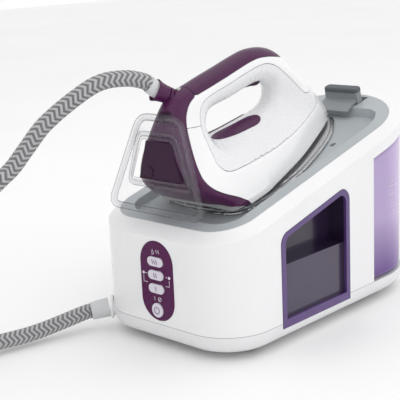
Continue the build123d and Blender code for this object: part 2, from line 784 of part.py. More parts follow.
cord_radius = cord_diameter / 2
cord_points = [(-base_width / 2 + 8, cord_y, cord_z), (-base_width / 2 - 4, cord_y, cord_z),
               (-base_width / 2 - 18, cord_y, cord_z), (-base_width / 2 - 38, cord_y + 2, 23)]
coil_steps = 8
for step in range(coil_steps * coil_turns + 1):
    angle = 2 * pi * step / coil_steps - pi / 2 + pi / 4
    height = cord_radius + 0.2 + coil_pitch * step / coil_steps
    cord_points.append((coil_x + coil_radius * cos(angle), coil_y + coil_radius * sin(angle), height))
cord_points.append((coil_x + coil_radius + 8, coil_y + 14, 22))
cord_points.append((coil_x + coil_radius + 2, coil_y + 62, 18))
with BuildPart() as power_cord:
    add(tube_along(cord_points, cord_diameter))
finish(power_cord, "power_cord")

plug_center = cord_points[-1]
with BuildPart() as power_plug:
    with BuildSketch(Plane.XZ.offset(-plug_center[1])):
        with Locations((plug_center[0], plug_center[2])):
            Circle(6)
    extrude(amount=-16)
    with BuildSketch(Plane.XZ.offset(-plug_center[1] - 14)):
        with Locations((plug_center[0], plug_center[2])):
            Circle(17.5)
    extrude(amount=-30)
    fillet(power_plug.edges().filter_by(lambda e: e.length > 100), 3)
    with BuildSketch(Plane.XZ.offset(-plug_center[1] - 44)):
        with Locations((plug_center[0] - 9.5, plug_center[2]), (plug_center[0] + 9.5, plug_center[2])):
            Circle(2.4)
    extrude(amount=-19)
    with BuildSketch(Plane.XZ.offset(-plug_center[1])):
        with Locations((plug_center[0], plug_center[2])):
            Circle(cord_radius + 0.5)
    extrude(amount=-8, both=True, mode=Mode.SUBTRACT)
finish(power_plug, "power_plug")

# ---------------------------------------------------------------- iron
def iron_section(plane, half_width, heel, tip):
    """Sketch one level section of the iron: a full rounded heel drawn out to a point."""
    length = tip - heel
    heel_plane = Plane(origin=plane.from_local_coords((0, heel, 0)), x_dir=plane.x_dir, z_dir=plane.z_dir)
    with BuildSketch(heel_plane) as outline:
        with BuildLine():
            heel_curve = Bezier((0, 0), (0.9 * half_width, 0), (half_width, 0.02 * length),
                                (half_width, 0.26 * length))
            side_curve = Bezier(heel_curve @ 1, (half_width, 0.5 * length),
                                (0.75 * half_width, 0.78 * length), (0, length))
            mirror([heel_curve, side_curve], about=Plane.YZ)
        make_face()
    return outline.sketch


def body_outline(plane, inset):
    """Sketch the foot of the iron's body, moved inwards."""
    return iron_section(plane, body_half_width - inset, inset, body_length - 2.6 * inset)


def side_region(points, half_width):
    """Block bounded by a side-view outline, given along and above the soleplate."""
    with BuildPart() as region:
        with BuildSketch(iron_side_plane.offset(-half_width)):
            with BuildLine():
                Polyline(*points, close=True)
            make_face()
        extrude(amount=2 * half_width)
    return region.part


def iron_loft(levels):
    """Loft level sections given as height above the sole, half width, heel and tip."""
    with BuildPart() as body:
        for w, half_width, heel, tip in levels:
            add(iron_section(iron_plane.offset(w), half_width, heel, tip))
        loft()
    return body.part


with BuildPart() as soleplate:
    extrude(iron_section(iron_plane, sole_half_width, 0, sole_length), amount=sole_thickness)
finish(soleplate, "soleplate")

skirt_height = skirt_top_w - sole_thickness
with BuildPart() as sole_skirt:
    extrude(body_outline(iron_plane.offset(sole_thickness), 2.2), amount=skirt_height)
    extrude(body_outline(iron_plane.offset(sole_thickness), 4.6), amount=skirt_height, mode=Mode.SUBTRACT)
finish(sole_skirt, "sole_skirt")

with BuildPart() as steam_chamber:
    extrude(body_outline(iron_plane.offset(sole_thickness), 13), amount=chamber_height)
    extrude(body_outline(iron_plane.offset(sole_thickness), 24), amount=chamber_height - 3,
            mode=Mode.SUBTRACT)
finish(steam_chamber, "steam_chamber")

heater_w = sole_thickness + chamber_height + 3.5
with BuildPart() as iron_heater:
    with BuildLine(iron_plane.offset(heater_w)):
        legs = Polyline((-30, 22), (-14, 130))
        turn = Line((30, 22), (14, 130))
        ThreePointArc(legs @ 1, (0, 146), turn @ 1)
    with BuildSketch(Plane(origin=legs @ 0, z_dir=legs % 0)):
        Circle(3.3)
    sweep()
finish(iron_heater, "iron_heater")

with BuildPart() as thermostat:
    with BuildSketch(iron_plane.offset(sole_thickness + chamber_height + 0.1)):
        with Locations((0, 70)):
            Circle(11)
    extrude(amount=8)
    with BuildSketch(iron_plane.offset(sole_thickness + chamber_height + 8)):
        with Locations((0, 70)):
            Circle(4)
    extrude(amount=5)
finish(thermostat, "thermostat")

# Iron body: level sections from the skirt to the top of the handle
body_levels = [(body_bottom_w, 55.5, 0, 221), (40, 46, -30, 203), (62, 30, -30, 187),
               (84, 17.5, -24, 170), (104, 14.5, -14, 154), (121, 9, 4, 120)]
cavity_levels = [(body_bottom_w - 0.1, 51.5, 3, 210), (36, 43, -26, 194), (56, 27, -24, 176)]
iron_block = iron_loft(body_levels)
iron_cavity = iron_loft(cavity_levels)
opening = [(29, 78), (33, opening_bottom_w), (120, opening_bottom_w), (131, 69), (129, 78), (117, 85.5),
           (104, 88), (32, 88)]
opening_core = [(18, 78), (24, 52), (126, 52), (141, 69), (137, 82), (119, 97), (24, 97)]
cover_region = [(-60, 112), (-4, 104), (18, handle_top_w), (112, handle_top_w), (163, 92), (180, 96),
                (180, 140), (-60, 140)]
heel_region = [(-60, 0), (20, 0), (14, 14), (-4, 30), (-14, 50), (-4, 80), (18, handle_top_w),
               (-4, 104), (-60, 112)]
swivel_center = iron_side_plane.from_local_coords((swivel_u, swivel_w, 0))
swivel_plane = Plane(origin=swivel_center, x_dir=(1, 0, 0), z_dir=iron_plane.z_dir)
with BuildPart() as iron_voids:
    add(side_region(opening, 80))
    add(iron_cavity)
    with BuildSketch(iron_side_plane.offset(-7.2)):
        with Locations((trigger_pivot[0] + 11.5, trigger_pivot[1] + 1)):
            Rectangle(34, 16)
    extrude(amount=14.4)
    with BuildSketch(swivel_plane.offset(-11)):
        Circle(swivel_clearance)
        with Locations((0, -20)):
            Rectangle(2 * swivel_clearance, 30)
    extrude(amount=40)
    with BuildSketch(swivel_plane.offset(-60)):
        with Locations((0, -3)):
            Circle(4.6)
    extrude(amount=60)

with BuildPart() as top_cover:
    add(iron_block)
    add(side_region(cover_region, 80), mode=Mode.INTERSECT)
    add(iron_voids.part, mode=Mode.SUBTRACT)
finish(top_cover, "top_cover")

with BuildPart() as heel_cover:
    add(iron_block)
    add(side_region(heel_region, 80), mode=Mode.INTERSECT)
    add(iron_voids.part, mode=Mode.SUBTRACT)
finish(heel_cover, "heel_cover")

with BuildPart() as core_region:
    add(side_region(opening_core, 11))
    add(side_region(heel_region, 80), mode=Mode.SUBTRACT)
    add(side_region(cover_region, 80), mode=Mode.SUBTRACT)

with BuildPart() as handle_core:
    add(iron_block)
    add(core_region.part, mode=Mode.INTERSECT)
    add(iron_voids.part, mode=Mode.SUBTRACT)
finish(handle_core, "handle_core")

with BuildPart() as white_shell:
    add(iron_block)
    add(side_region(cover_region, 80), mode=Mode.SUBTRACT)
    add(side_region(heel_region, 80), mode=Mode.SUBTRACT)
    add(core_region.part, mode=Mode.SUBTRACT)
    add(iron_voids.part, mode=Mode.SUBTRACT)

with BuildPart() as handle_shell:
    add(white_shell.part)
    split(bisect_by=iron_plane.offset(handle_split_w), keep=Keep.TOP)
finish(handle_shell, "handle_shell")

with BuildPart() as body_shell:
    add(white_shell.part)
    split(bisect_by=iron_plane.offset(handle_split_w), keep=Keep.BOTTOM)
finish(body_shell, "body_shell")

# ---------------------------------------------------------------- heel rest and trim
rest_bottom = (-48.0, 25.0)  # along and above the soleplate
rest_top = (-21.0, 99.0)
rest_length = ((rest_top[0] - rest_bottom[0]) ** 2 + (rest_top[1] - rest_bottom[1]) ** 2) ** 0.5
rest_dir = (iron_side_plane.from_local_coords((*rest_top, 0))
            - iron_side_plane.from_local_coords((*rest_bottom, 0))).normalized()
rest_plane = Plane(origin=iron_side_plane.from_local_coords((*rest_bottom, 0)), x_dir=(1, 0, 0),
                   z_dir=Vector(1, 0, 0).cross(rest_dir))


def tapered_loop(plane, bottom_half, top_half, bottom, top, corner):
    """Sketch a rounded outline, wide at the bottom and narrow at the top."""
    with BuildSketch(plane) as outline:
        with BuildLine():
            Polyline((-bottom_half, bottom), (bottom_half, bottom), (top_half, top), (-top_half, top),
                     close=True)
        make_face()
        fillet(outline.vertices(), corner)
    return outline.sketch


with BuildPart() as heel_rest:
    extrude(tapered_loop(rest_plane, 50, 25, 0, rest_length, 12), amount=-7)
    extrude(tapered_loop(rest_plane, 41, 21, 10, rest_length - 11, 8), amount=-30, both=True,
            mode=Mode.SUBTRACT)
    add(iron_block, mode=Mode.SUBTRACT)
finish(heel_rest, "heel_rest")

with BuildPart() as heel_panel:
    extrude(tapered_loop(rest_plane.offset(-4), 26, 16, 24, rest_length - 18, 6), amount=-6)
    add(iron_block, mode=Mode.SUBTRACT)
finish(heel_panel, "heel_panel")

with BuildPart() as badge_plate:
    with BuildSketch(iron_plane.offset(opening_bottom_w + 0.1)):
        with Locations((0, 66)):
            RectangleRounded(16, 58, 7)
    extrude(amount=1.6)
finish(badge_plate, "badge_plate")

# ---------------------------------------------------------------- steam trigger
trigger_outline = [(-3.5, -3), (-3.5, 3.5), (26, 1.5), (27.5, -3), (24, -8), (18, -6.8), (2, -4.4)]
with BuildPart() as steam_trigger:
    with BuildSketch(iron_side_plane.offset(-6.5)):
        with BuildLine():
            Polyline(*[(trigger_pivot[0] + u, trigger_pivot[1] + w) for u, w in trigger_outline], close=True)
        make_face()
        with Locations(trigger_pivot):
            Circle(1.56, mode=Mode.SUBTRACT)
    extrude(amount=13)
finish(steam_trigger, "steam_trigger")

with BuildPart() as trigger_pin:
    with BuildSketch(iron_side_plane.offset(-7.1)):
        with Locations(trigger_pivot):
            Circle(1.5)
    extrude(amount=14.2)
finish(trigger_pin, "trigger_pin")

with BuildPart() as trigger_switch:
    with BuildSketch(iron_side_plane.offset(-3)):
        with Locations((trigger_pivot[0] + 19, trigger_pivot[1] + 6.6)):
            Rectangle(13, 3.6)
    extrude(amount=6)
finish(trigger_switch, "trigger_switch")

# ---------------------------------------------------------------- hose swivel
collar_out = Vector(*[part * 0.9 for part in hose_heading], 0.433).normalized()
collar_plane = Plane(origin=swivel_center, z_dir=collar_out)
collar_start = 8.0
collar_end = 25.0
cuff_end = 38.0
with BuildPart() as hose_swivel:
    with Locations(swivel_center):
        Sphere(9)
    with BuildSketch(collar_plane):
        Circle(6)
    extrude(amount=collar_start + 2)
    with BuildSketch(swivel_plane.offset(-12)):
        Circle(2.6)
    extrude(amount=40, mode=Mode.SUBTRACT)
finish(hose_swivel, "hose_swivel")

with BuildPart() as swivel_pin:
    with BuildSketch(swivel_plane.offset(-11)):
        Circle(2.5)
    extrude(amount=23)
finish(swivel_pin, "swivel_pin")

with BuildPart() as hose_collar:
    for rib in range(3):
        with BuildSketch(collar_plane.offset(collar_start + 2.1 + 5 * rib)):
            Circle(11.5 + 0.6 * rib)
        extrude(amount=3.6)
    with BuildSketch(collar_plane.offset(collar_start + 2.1)):
        Circle(10.5)
    extrude(amount=collar_end - collar_start - 2.1)
    with BuildSketch(collar_plane.offset(collar_end - 5)):
        Circle(cuff_diameter / 2 + 0.1)
    extrude(amount=6, mode=Mode.SUBTRACT)
finish(hose_collar, "hose_collar")

with BuildPart() as upper_hose_cuff:
    with BuildSketch(collar_plane.offset(collar_end - 4.9)):
        Circle(cuff_diameter / 2)
    extrude(amount=cuff_end - collar_end + 4.9)
finish(upper_hose_cuff, "upper_hose_cuff")

tube_top = iron_side_plane.from_local_coords((swivel_u - 3, swivel_w - 13, 0))
tube_bend = iron_side_plane.from_local_coords((swivel_u - 2.8, 54, 0))
tube_end = iron_side_plane.from_local_coords((14, sole_thickness + chamber_height + 0.3, 0))
with BuildPart() as iron_steam_tube:
    add(tube_along([tuple(tube_top), tuple(tube_bend), tuple(tube_end)], 5,
                   tangents=[tuple(iron_plane.z_dir * -1), tuple(iron_plane.z_dir * -1)]))
finish(iron_steam_tube, "iron_steam_tube")

# ---------------------------------------------------------------- steam hose
lead_in = 5.0
hose_end_gap = 1.2
swivel_x, swivel_y, swivel_z = swivel_center
hose_arch = [(66, 19), (90, 9), (118, -11), (136, -31), (150, -47), (166, -60)]  # out from the swivel, rise
floor_loop = [(-104, -322, 124), (-118, -340, 84), (-128, -330, 36), (-124, -296, 11), (-116, -262, 8.2),
              (-108, -226, 8.8)]
hose_start = collar_plane.origin + collar_out * (cuff_end + hose_end_gap)
hose_end = cuff_plane.origin + cuff_out * (lower_cuff_length + 0.8 + hose_end_gap)
hose_points = [tuple(hose_start), tuple(hose_start + collar_out * lead_in)]
for along, rise in hose_arch:
    hose_points.append((swivel_x + along * hose_heading[0], swivel_y + along * hose_heading[1],
                        swivel_z + rise))
hose_points += floor_loop + [tuple(hose_end + cuff_out * lead_in), tuple(hose_end)]
with BuildPart() as steam_hose:
    add(tube_along(hose_points, hose_diameter, frenet=True))
finish(steam_hose, "steam_hose")
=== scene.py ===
"""Looks of a steam generator iron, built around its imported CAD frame. Lengths are in metres."""

import json
import math

import bpy
import numpy as np
from mathutils import Matrix, Vector


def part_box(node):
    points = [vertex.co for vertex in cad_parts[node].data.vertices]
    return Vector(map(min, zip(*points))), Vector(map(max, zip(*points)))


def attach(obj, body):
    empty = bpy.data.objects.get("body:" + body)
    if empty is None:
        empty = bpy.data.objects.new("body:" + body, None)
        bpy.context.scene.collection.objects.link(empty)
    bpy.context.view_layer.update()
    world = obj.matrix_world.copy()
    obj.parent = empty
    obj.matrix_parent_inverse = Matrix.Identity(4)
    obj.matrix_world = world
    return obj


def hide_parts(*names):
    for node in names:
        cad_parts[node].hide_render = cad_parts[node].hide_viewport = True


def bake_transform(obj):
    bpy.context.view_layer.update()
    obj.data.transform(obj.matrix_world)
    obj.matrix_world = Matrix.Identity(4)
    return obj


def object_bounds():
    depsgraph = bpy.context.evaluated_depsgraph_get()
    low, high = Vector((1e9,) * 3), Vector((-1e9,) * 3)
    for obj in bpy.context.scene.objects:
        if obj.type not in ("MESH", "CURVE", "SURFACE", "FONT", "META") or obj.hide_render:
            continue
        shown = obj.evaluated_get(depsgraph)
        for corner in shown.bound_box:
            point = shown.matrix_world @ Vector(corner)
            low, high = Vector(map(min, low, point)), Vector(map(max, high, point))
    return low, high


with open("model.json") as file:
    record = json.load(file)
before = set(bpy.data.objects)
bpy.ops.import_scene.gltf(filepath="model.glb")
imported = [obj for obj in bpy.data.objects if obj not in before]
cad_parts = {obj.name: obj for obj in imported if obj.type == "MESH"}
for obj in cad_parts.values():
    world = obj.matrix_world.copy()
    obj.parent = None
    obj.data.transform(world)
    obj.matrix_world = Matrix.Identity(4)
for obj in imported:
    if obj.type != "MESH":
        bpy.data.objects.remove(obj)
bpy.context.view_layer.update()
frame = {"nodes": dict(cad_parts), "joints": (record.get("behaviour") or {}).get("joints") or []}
nodes = frame["nodes"]
MM = 0.001


# ---------------------------------------------------------------- frame measurements
def node_points(name):
    """Vertices of a CAD node in the row frame."""
    return np.array([v.co for v in nodes[name].data.vertices], float)


def joint_named(name):
    return next(j for j in frame["joints"] if j["name"] == name)


UP = np.array(joint_named("iron_lift")["axis"], float)   # out of the sloped tray
ACROSS = np.array([1.0, 0.0, 0.0])
ALONG = np.cross(UP, ACROSS)                             # up the tray slope
sole_points = node_points("soleplate")
IRON_ORIGIN = ALONG * (sole_points @ ALONG).min() + UP * (sole_points @ UP).min()


def iron_world(points):
    """Row-frame places of points given in millimetres across, along and above the soleplate."""
    return IRON_ORIGIN + MM * (np.asarray(points, float) @ np.array([ACROSS, ALONG, UP]))


# ---------------------------------------------------------------- materials
def blend_colors(tree, low, high, factor):
    """Colour that runs from low to high with a factor socket."""
    mix = tree.nodes.new("ShaderNodeMix")
    mix.data_type = "RGBA"
    tree.links.new(factor, mix.inputs["Factor"])
    for socket, color in ((6, low), (7, high)):
        if isinstance(color, tuple):
            mix.inputs[socket].default_value = (*color, 1)
        else:
            tree.links.new(color, mix.inputs[socket])
    return mix.outputs[2]


def noise(tree, scale, detail=4.0, roughness=0.55):
    """Noise in the piece's own coordinates."""
    place = tree.nodes.new("ShaderNodeTexCoord")
    texture = tree.nodes.new("ShaderNodeTexNoise")
    texture.inputs["Scale"].default_value = scale
    texture.inputs["Detail"].default_value = detail
    texture.inputs["Roughness"].default_value = roughness
    tree.links.new(place.outputs["Object"], texture.inputs["Vector"])
    return texture.outputs["Fac"]


def ramp(tree, value, start, end, low=0.0, high=1.0):
    """Value mapped from start..end to low..high, held at the ends."""
    span = tree.nodes.new("ShaderNodeMapRange")
    for socket, number in (("From Min", start), ("From Max", end), ("To Min", low), ("To Max", high)):
        span.inputs[socket].default_value = number
    tree.links.new(value, span.inputs["Value"])
    return span.outputs["Result"]


def math_node(tree, operation, a, b=0.0):
    """Result of a math node on two sockets or numbers."""
    node = tree.nodes.new("ShaderNodeMath")
    node.operation = operation
    for index, value in enumerate((a, b)):
        if isinstance(value, float):
            node.inputs[index].default_value = value
        else:
            tree.links.new(value, node.inputs[index])
    return node.outputs[0]


def axis_value(tree, axis):
    """One coordinate of the surface point, in metres, in the row frame at rest."""
    place = tree.nodes.new("ShaderNodeTexCoord")
    split = tree.nodes.new("ShaderNodeSeparateXYZ")
    tree.links.new(place.outputs["Object"], split.inputs[0])
    return split.outputs[axis]


def finish_surface(tree, shader, rough, rough_spread, grain, grain_depth):
    """Roughness variation and a fine moulded grain shared by every finish."""
    cloud = noise(tree, grain * 0.35)
    tree.links.new(ramp(tree, cloud, 0.3, 0.7, rough - rough_spread, rough + rough_spread),
                   shader.inputs["Roughness"])
    bump = tree.nodes.new("ShaderNodeBump")
    bump.inputs["Strength"].default_value = 0.35
    bump.inputs["Distance"].default_value = grain_depth
    tree.links.new(noise(tree, grain), bump.inputs["Height"])
    tree.links.new(bump.outputs["Normal"], shader.inputs["Normal"])


def new_material(name):
    """Material with its node tree and its main shader."""
    material = bpy.data.materials.new(name)
    material.use_nodes = True
    return material, material.node_tree, material.node_tree.nodes["Principled BSDF"]


def plastic(name, color, rough=0.35, spread=0.04, grain=900.0, grain_depth=0.000008, coat=0.0,
            variation=0.05, coverage=9.0, metallic=0.0, specular=0.5, deep=None, deep_range=(0, 1)):
    """Moulded plastic or metal: cloudy colour, fine grain and, below deep_range, a deep colour."""
    material, tree, shader = new_material(name)
    low = tuple(max(0.0, c * (1 - variation)) for c in color)
    high = tuple(min(1.0, c * (1 + variation)) for c in color)
    tint = blend_colors(tree, low, high, ramp(tree, noise(tree, coverage), 0.35, 0.65))
    # Below deep_range the colour turns deep: on the housing this is painted shade along its seam with the
    # bottom pan.
    if deep:
        share = ramp(tree, axis_value(tree, 2), *deep_range)
        tint = blend_colors(tree, deep, tint, share)
    tree.links.new(tint, shader.inputs["Base Color"])
    shader.inputs["Metallic"].default_value = metallic
    shader.inputs["Specular IOR Level"].default_value = specular
    shader.inputs["Coat Weight"].default_value = coat
    shader.inputs["Coat Roughness"].default_value = 0.08
    finish_surface(tree, shader, rough, spread, grain, grain_depth)
    return material


def clear(name, color, rough, see_through, edge_from=0.2, edge_share=1.0, passes_tint=True,
          deep=None, deep_range=(0, 1)):
    """Clear plastic that lets light straight through, with a glossy skin. Its tint is either all through, or
    only where the surface turns away as painted shade of refraction at the outlines."""
    material, tree, shader = new_material(name)
    tint = blend_colors(tree, tuple(c * 0.96 for c in color), color,
                        ramp(tree, noise(tree, 12.0), 0.3, 0.7))
    if deep:
        tint = blend_colors(tree, deep, tint, ramp(tree, axis_value(tree, 2), *deep_range))
    tree.links.new(tint, shader.inputs["Base Color"])
    finish_surface(tree, shader, rough, 0.02, 300.0, 0.00003)
    glass = tree.nodes.new("ShaderNodeBsdfTransparent")
    facing = tree.nodes.new("ShaderNodeLayerWeight")
    facing.inputs["Blend"].default_value = 0.35
    # Tint only towards the outlines: painted shade standing in for refraction at the clear edges.
    if not passes_tint:
        refraction_shade = ramp(tree, facing.outputs["Facing"], 0.25, 0.8)
        tint = blend_colors(tree, (0.98, 0.98, 0.985), tint, refraction_shade)
    tree.links.new(tint, glass.inputs["Color"])
    mix = tree.nodes.new("ShaderNodeMixShader")
    edge = ramp(tree, facing.outputs["Facing"], edge_from, 1.0, 1 - see_through, edge_share)
    tree.links.new(edge, mix.inputs[0])
    tree.links.new(glass.outputs[0], mix.inputs[1])
    tree.links.new(shader.outputs[0], mix.inputs[2])
    tree.links.new(mix.outputs[0], tree.nodes["Material Output"].inputs["Surface"])
    return material


WHITE = plastic("white_gloss", (0.81, 0.81, 0.82), rough=0.24, coat=0.25, variation=0.015)
# Below 22.2 mm high the housing turns near-black: painted shade along its seam with the bottom pan.
HOUSING = plastic("housing_white", (0.81, 0.81, 0.82), rough=0.24, coat=0.2, variation=0.015,
                  deep=(0.16, 0.16, 0.17), deep_range=(0.0222, 0.0226))
WHITE_IRON = plastic("white_iron", (0.84, 0.84, 0.85), rough=0.2, coat=0.35, variation=0.012)
WHITE_CORE = plastic("white_core", (0.76, 0.76, 0.775), rough=0.27, coat=0.2, variation=0.015)
PURPLE = plastic("purple_gloss", (0.066, 0.012, 0.058), rough=0.3, coat=0.05, variation=0.06,
                 specular=0.25)
PURPLE_DARK = plastic("purple_dark", (0.030, 0.006, 0.028), rough=0.3, variation=0.1, specular=0.2)
PANEL = plastic("panel_purple", (0.082, 0.013, 0.068), rough=0.3, variation=0.06, specular=0.15)
GREY_TRAY = plastic("tray_grey", (0.40, 0.43, 0.45), rough=0.42, variation=0.04, grain=1400.0,
                    grain_depth=0.00007)
GREY_LEVER = plastic("lever_grey", (0.24, 0.26, 0.275), rough=0.4, variation=0.05, grain=1400.0)
GREY_PAD = plastic("pad_grey", (0.085, 0.095, 0.105), rough=0.55, variation=0.12, grain=2200.0,
                   grain_depth=0.0001)
GREY_CUFF = plastic("cuff_grey", (0.56, 0.57, 0.58), rough=0.35, variation=0.03)
GREY_SKIRT = plastic("skirt_grey", (0.50, 0.50, 0.50), rough=0.32, coat=0.2, variation=0.04)
PAN_WHITE = plastic("pan_white", (0.74, 0.74, 0.75), rough=0.32, coat=0.1, variation=0.02)
BUTTON = plastic("button_lilac", (0.66, 0.62, 0.70), rough=0.33, coat=0.2, variation=0.03)
GLYPH = plastic("glyph_dark", (0.16, 0.10, 0.19), rough=0.5, variation=0.1)
GLYPH_LIGHT = plastic("glyph_light", (0.72, 0.66, 0.74), rough=0.45, variation=0.05)
RUBBER = plastic("rubber_black", (0.02, 0.02, 0.022), rough=0.75, variation=0.2, grain=2500.0,
                 grain_depth=0.0001)
CORD = plastic("cord_white", (0.70, 0.70, 0.71), rough=0.45, variation=0.03)
CHROME = plastic("chrome", (0.50, 0.50, 0.51), rough=0.24, spread=0.05, metallic=1.0, grain=500.0,
                 grain_depth=0.00002)
STEEL = plastic("steel", (0.52, 0.52, 0.53), rough=0.32, metallic=1.0, variation=0.06)
BRASS = plastic("brass", (0.55, 0.40, 0.18), rough=0.35, metallic=1.0, variation=0.1)
BOARD = plastic("circuit_green", (0.03, 0.16, 0.07), rough=0.5, variation=0.15)
SILICONE = plastic("silicone_tube", (0.72, 0.70, 0.64), rough=0.5, variation=0.05)
# Grey towards the outlines of the clear sheet: painted shade standing in for refraction.
CLEAR_REST = clear("clear_plastic", (0.70, 0.70, 0.72), rough=0.03, see_through=0.96, edge_from=0.6,
                   passes_tint=False)
# Dark grey rims: painted shade standing in for refraction along the clear rims.
CLEAR_EDGE = clear("clear_edge", (0.34, 0.34, 0.36), rough=0.04, see_through=0.9, edge_from=0.45,
                   edge_share=0.5, passes_tint=False)
TANK = clear("tank_lilac", (0.68, 0.56, 0.82), rough=0.08, see_through=0.5, deep=(0.24, 0.13, 0.42),
             deep_range=(0.030, 0.085))
FLAP = clear("flap_lilac", (0.55, 0.44, 0.72), rough=0.12, see_through=0.35)


# ---------------------------------------------------------------- meshing
def smooth_line(points, closed=True, per_span=8):
    """Dense rounded line through a few points."""
    p = np.array(points, float)
    count = len(p)
    line = []
    for i in range(count if closed else count - 1):
        a, b, c, d = (p[j % count] if closed else p[min(max(j, 0), count - 1)]
                      for j in (i - 1, i, i + 1, i + 2))
        for t in np.arange(per_span) / per_span:
            line.append(0.5 * (2 * b + (c - a) * t + (2 * a - 5 * b + 4 * c - d) * t ** 2
                               + (3 * b - a - 3 * c + d) * t ** 3))
    if not closed:
        line.append(p[-1])
    return np.array(line)


def outline_distance(outline, u, w):
    """Signed distance from points to a closed outline, negative inside."""
    best = np.full(u.shape, 1e9)
    inside = np.zeros(u.shape, bool)
    for (au, aw), (bu, bw) in zip(outline, np.roll(outline, -1, 0)):
        du, dw = bu - au, bw - aw
        size = du * du + dw * dw
        if size < 1e-12:
            continue
        t = np.clip(((u - au) * du + (w - aw) * dw) / size, 0, 1)
        best = np.minimum(best, (u - au - t * du) ** 2 + (w - aw - t * dw) ** 2)
        if dw != 0:
            inside ^= ((aw > w) != (bw > w)) & (u < du * (w - aw) / dw + au)
    return np.where(inside, -1, 1) * np.sqrt(best)


def spline_weights(offset):
    """Quadratic spline weights of the three nearest grid points."""
    return 0.5 * (0.5 - offset) ** 2, 0.75 - offset * offset, 0.5 * (0.5 + offset) ** 2


class Region:
    """Signed distance to a closed outline, read smoothly from a fine table."""

    def __init__(self, outline, spacing=0.75, margin=70.0, smoothing=8):
        outline = np.asarray(outline, float)
        self.low = outline.min(0) - margin
        self.spacing = spacing
        u, w = (np.arange(a, b, spacing) for a, b in zip(self.low, outline.max(0) + margin))
        self.table = outline_distance(outline, *np.meshgrid(u, w, indexing="ij"))
        for _ in range(smoothing):
            for axis in (0, 1):
                t = np.moveaxis(self.table, axis, 0)
                t[1:-1] = (t[:-2] + 2 * t[1:-1] + t[2:]) / 4

    def __call__(self, u, w):
        top = np.array(self.table.shape) - 2
        a = np.clip((u - self.low[0]) / self.spacing, 1, top[0])
        b = np.clip((w - self.low[1]) / self.spacing, 1, top[1])
        i, j = np.rint(a).astype(int), np.rint(b).astype(int)
        total = 0.0
        for di, along in zip((-1, 0, 1), spline_weights(a - i)):
            for dj, above in zip((-1, 0, 1), spline_weights(b - j)):
                total = total + along * above * self.table[i + di, j + dj]
        return total


halvings = 4              # searches along each grid edge that the surface crosses
slope_reach = 0.04        # share of a step to each side, for the surface's direction on an edge
centre_pull = 0.04        # pull of a cell's vertex to the middle of its crossings
settle_rounds = 2         # moves of each vertex onto the surface
settle_reach = 0.3        # share of a step to each side, for the slope at a vertex
settle_limit = 0.15       # largest move in a round, as a share of a step


def field_slope(field, points, reach):
    """Difference of a field across each point, along the three axes."""
    return np.stack([field(*(points + reach * e).T) - field(*(points - reach * e).T)
                     for e in np.eye(3)], -1)


def contour(field, low, high, step):
    """Vertices and quads of the surface where a field is zero, with its sharp edges kept.

    Each grid cell that the surface crosses gets one vertex, at the place that best fits the
    tangent planes on the cell's edges. The vertices are then settled onto the surface."""
    axes = [np.arange(a - step, b + 2 * step, step) for a, b in zip(low, high)]
    grid = np.stack(np.meshgrid(*axes, indexing="ij"), -1)
    value = field(grid[..., 0], grid[..., 1], grid[..., 2])
    inside = value < 0
    shape = np.array(inside.shape) - 1
    total = int(np.prod(shape))
    ata, atb = np.zeros((total, 3, 3)), np.zeros((total, 3))
    mass, count = np.zeros((total, 3)), np.zeros(total)
    quads = []
    for axis in range(3):
        head = np.moveaxis(inside, axis, 0)
        crossing = np.moveaxis(head[:-1] != head[1:], 0, axis)
        start = np.argwhere(crossing)
        others = [a for a in range(3) if a != axis]
        keep = np.all([(start[:, a] > 0) & (start[:, a] < shape[a]) for a in others], 0)
        start = start[keep]
        ends = start.copy()
        ends[:, axis] += 1
        a, b = grid[tuple(start.T)], grid[tuple(ends.T)]
        fa, fb = value[tuple(start.T)], value[tuple(ends.T)]
        for _ in range(halvings):
            t = (fa / (fa - fb))[:, None]
            middle = a + (b - a) * np.clip(t, 0.02, 0.98)
            fm = field(*middle.T)
            left = (fm < 0) == (fa < 0)
            a, fa = np.where(left[:, None], middle, a), np.where(left, fm, fa)
            b, fb = np.where(left[:, None], b, middle), np.where(left, fb, fm)
        place = a + (b - a) * (fa / (fa - fb))[:, None]
        normal = field_slope(field, place, step * slope_reach)
        normal /= np.linalg.norm(normal, axis=1, keepdims=True) + 1e-12
        cells = []
        for da, db in ((0, 0), (-1, 0), (-1, -1), (0, -1)):
            cell = start.copy()
            cell[:, others[0]] += da
            cell[:, others[1]] += db
            index = (cell[:, 0] * shape[1] + cell[:, 1]) * shape[2] + cell[:, 2]
            cells.append(index)
            np.add.at(ata, index, normal[:, :, None] * normal[:, None, :])
            np.add.at(atb, index, normal * np.sum(normal * place, 1, keepdims=True))
            np.add.at(mass, index, place)
            np.add.at(count, index, 1)
        quad = np.stack(cells, 1)
        flip = inside[tuple(start.T)] ^ (axis == 1)
        quads.append(np.where(flip[:, None], quad, quad[:, ::-1]))
    used = np.nonzero(count)[0]
    middle = mass[used] / count[used, None]
    rest = atb[used] - np.einsum("nij,nj->ni", ata[used], middle)
    offset = np.linalg.solve(ata[used] + centre_pull * np.eye(3), rest[..., None])
    vertex = middle + offset[..., 0]
    corner = grid[0, 0, 0] + step * np.stack(np.unravel_index(used, shape), 1)
    vertex = np.clip(vertex, corner - 0.05 * step, corner + 1.05 * step)
    reach = step * settle_reach
    for _ in range(settle_rounds):
        slope = field_slope(field, vertex, reach) / (2 * reach)
        steepness = np.maximum(np.sum(slope ** 2, 1), 1e-4)
        shift = -slope * (field(*vertex.T) / steepness)[:, None]
        vertex = vertex + np.clip(shift, -settle_limit * step, settle_limit * step)
    order = np.full(total, -1)
    order[used] = np.arange(len(used))
    return vertex, order[np.concatenate(quads)]


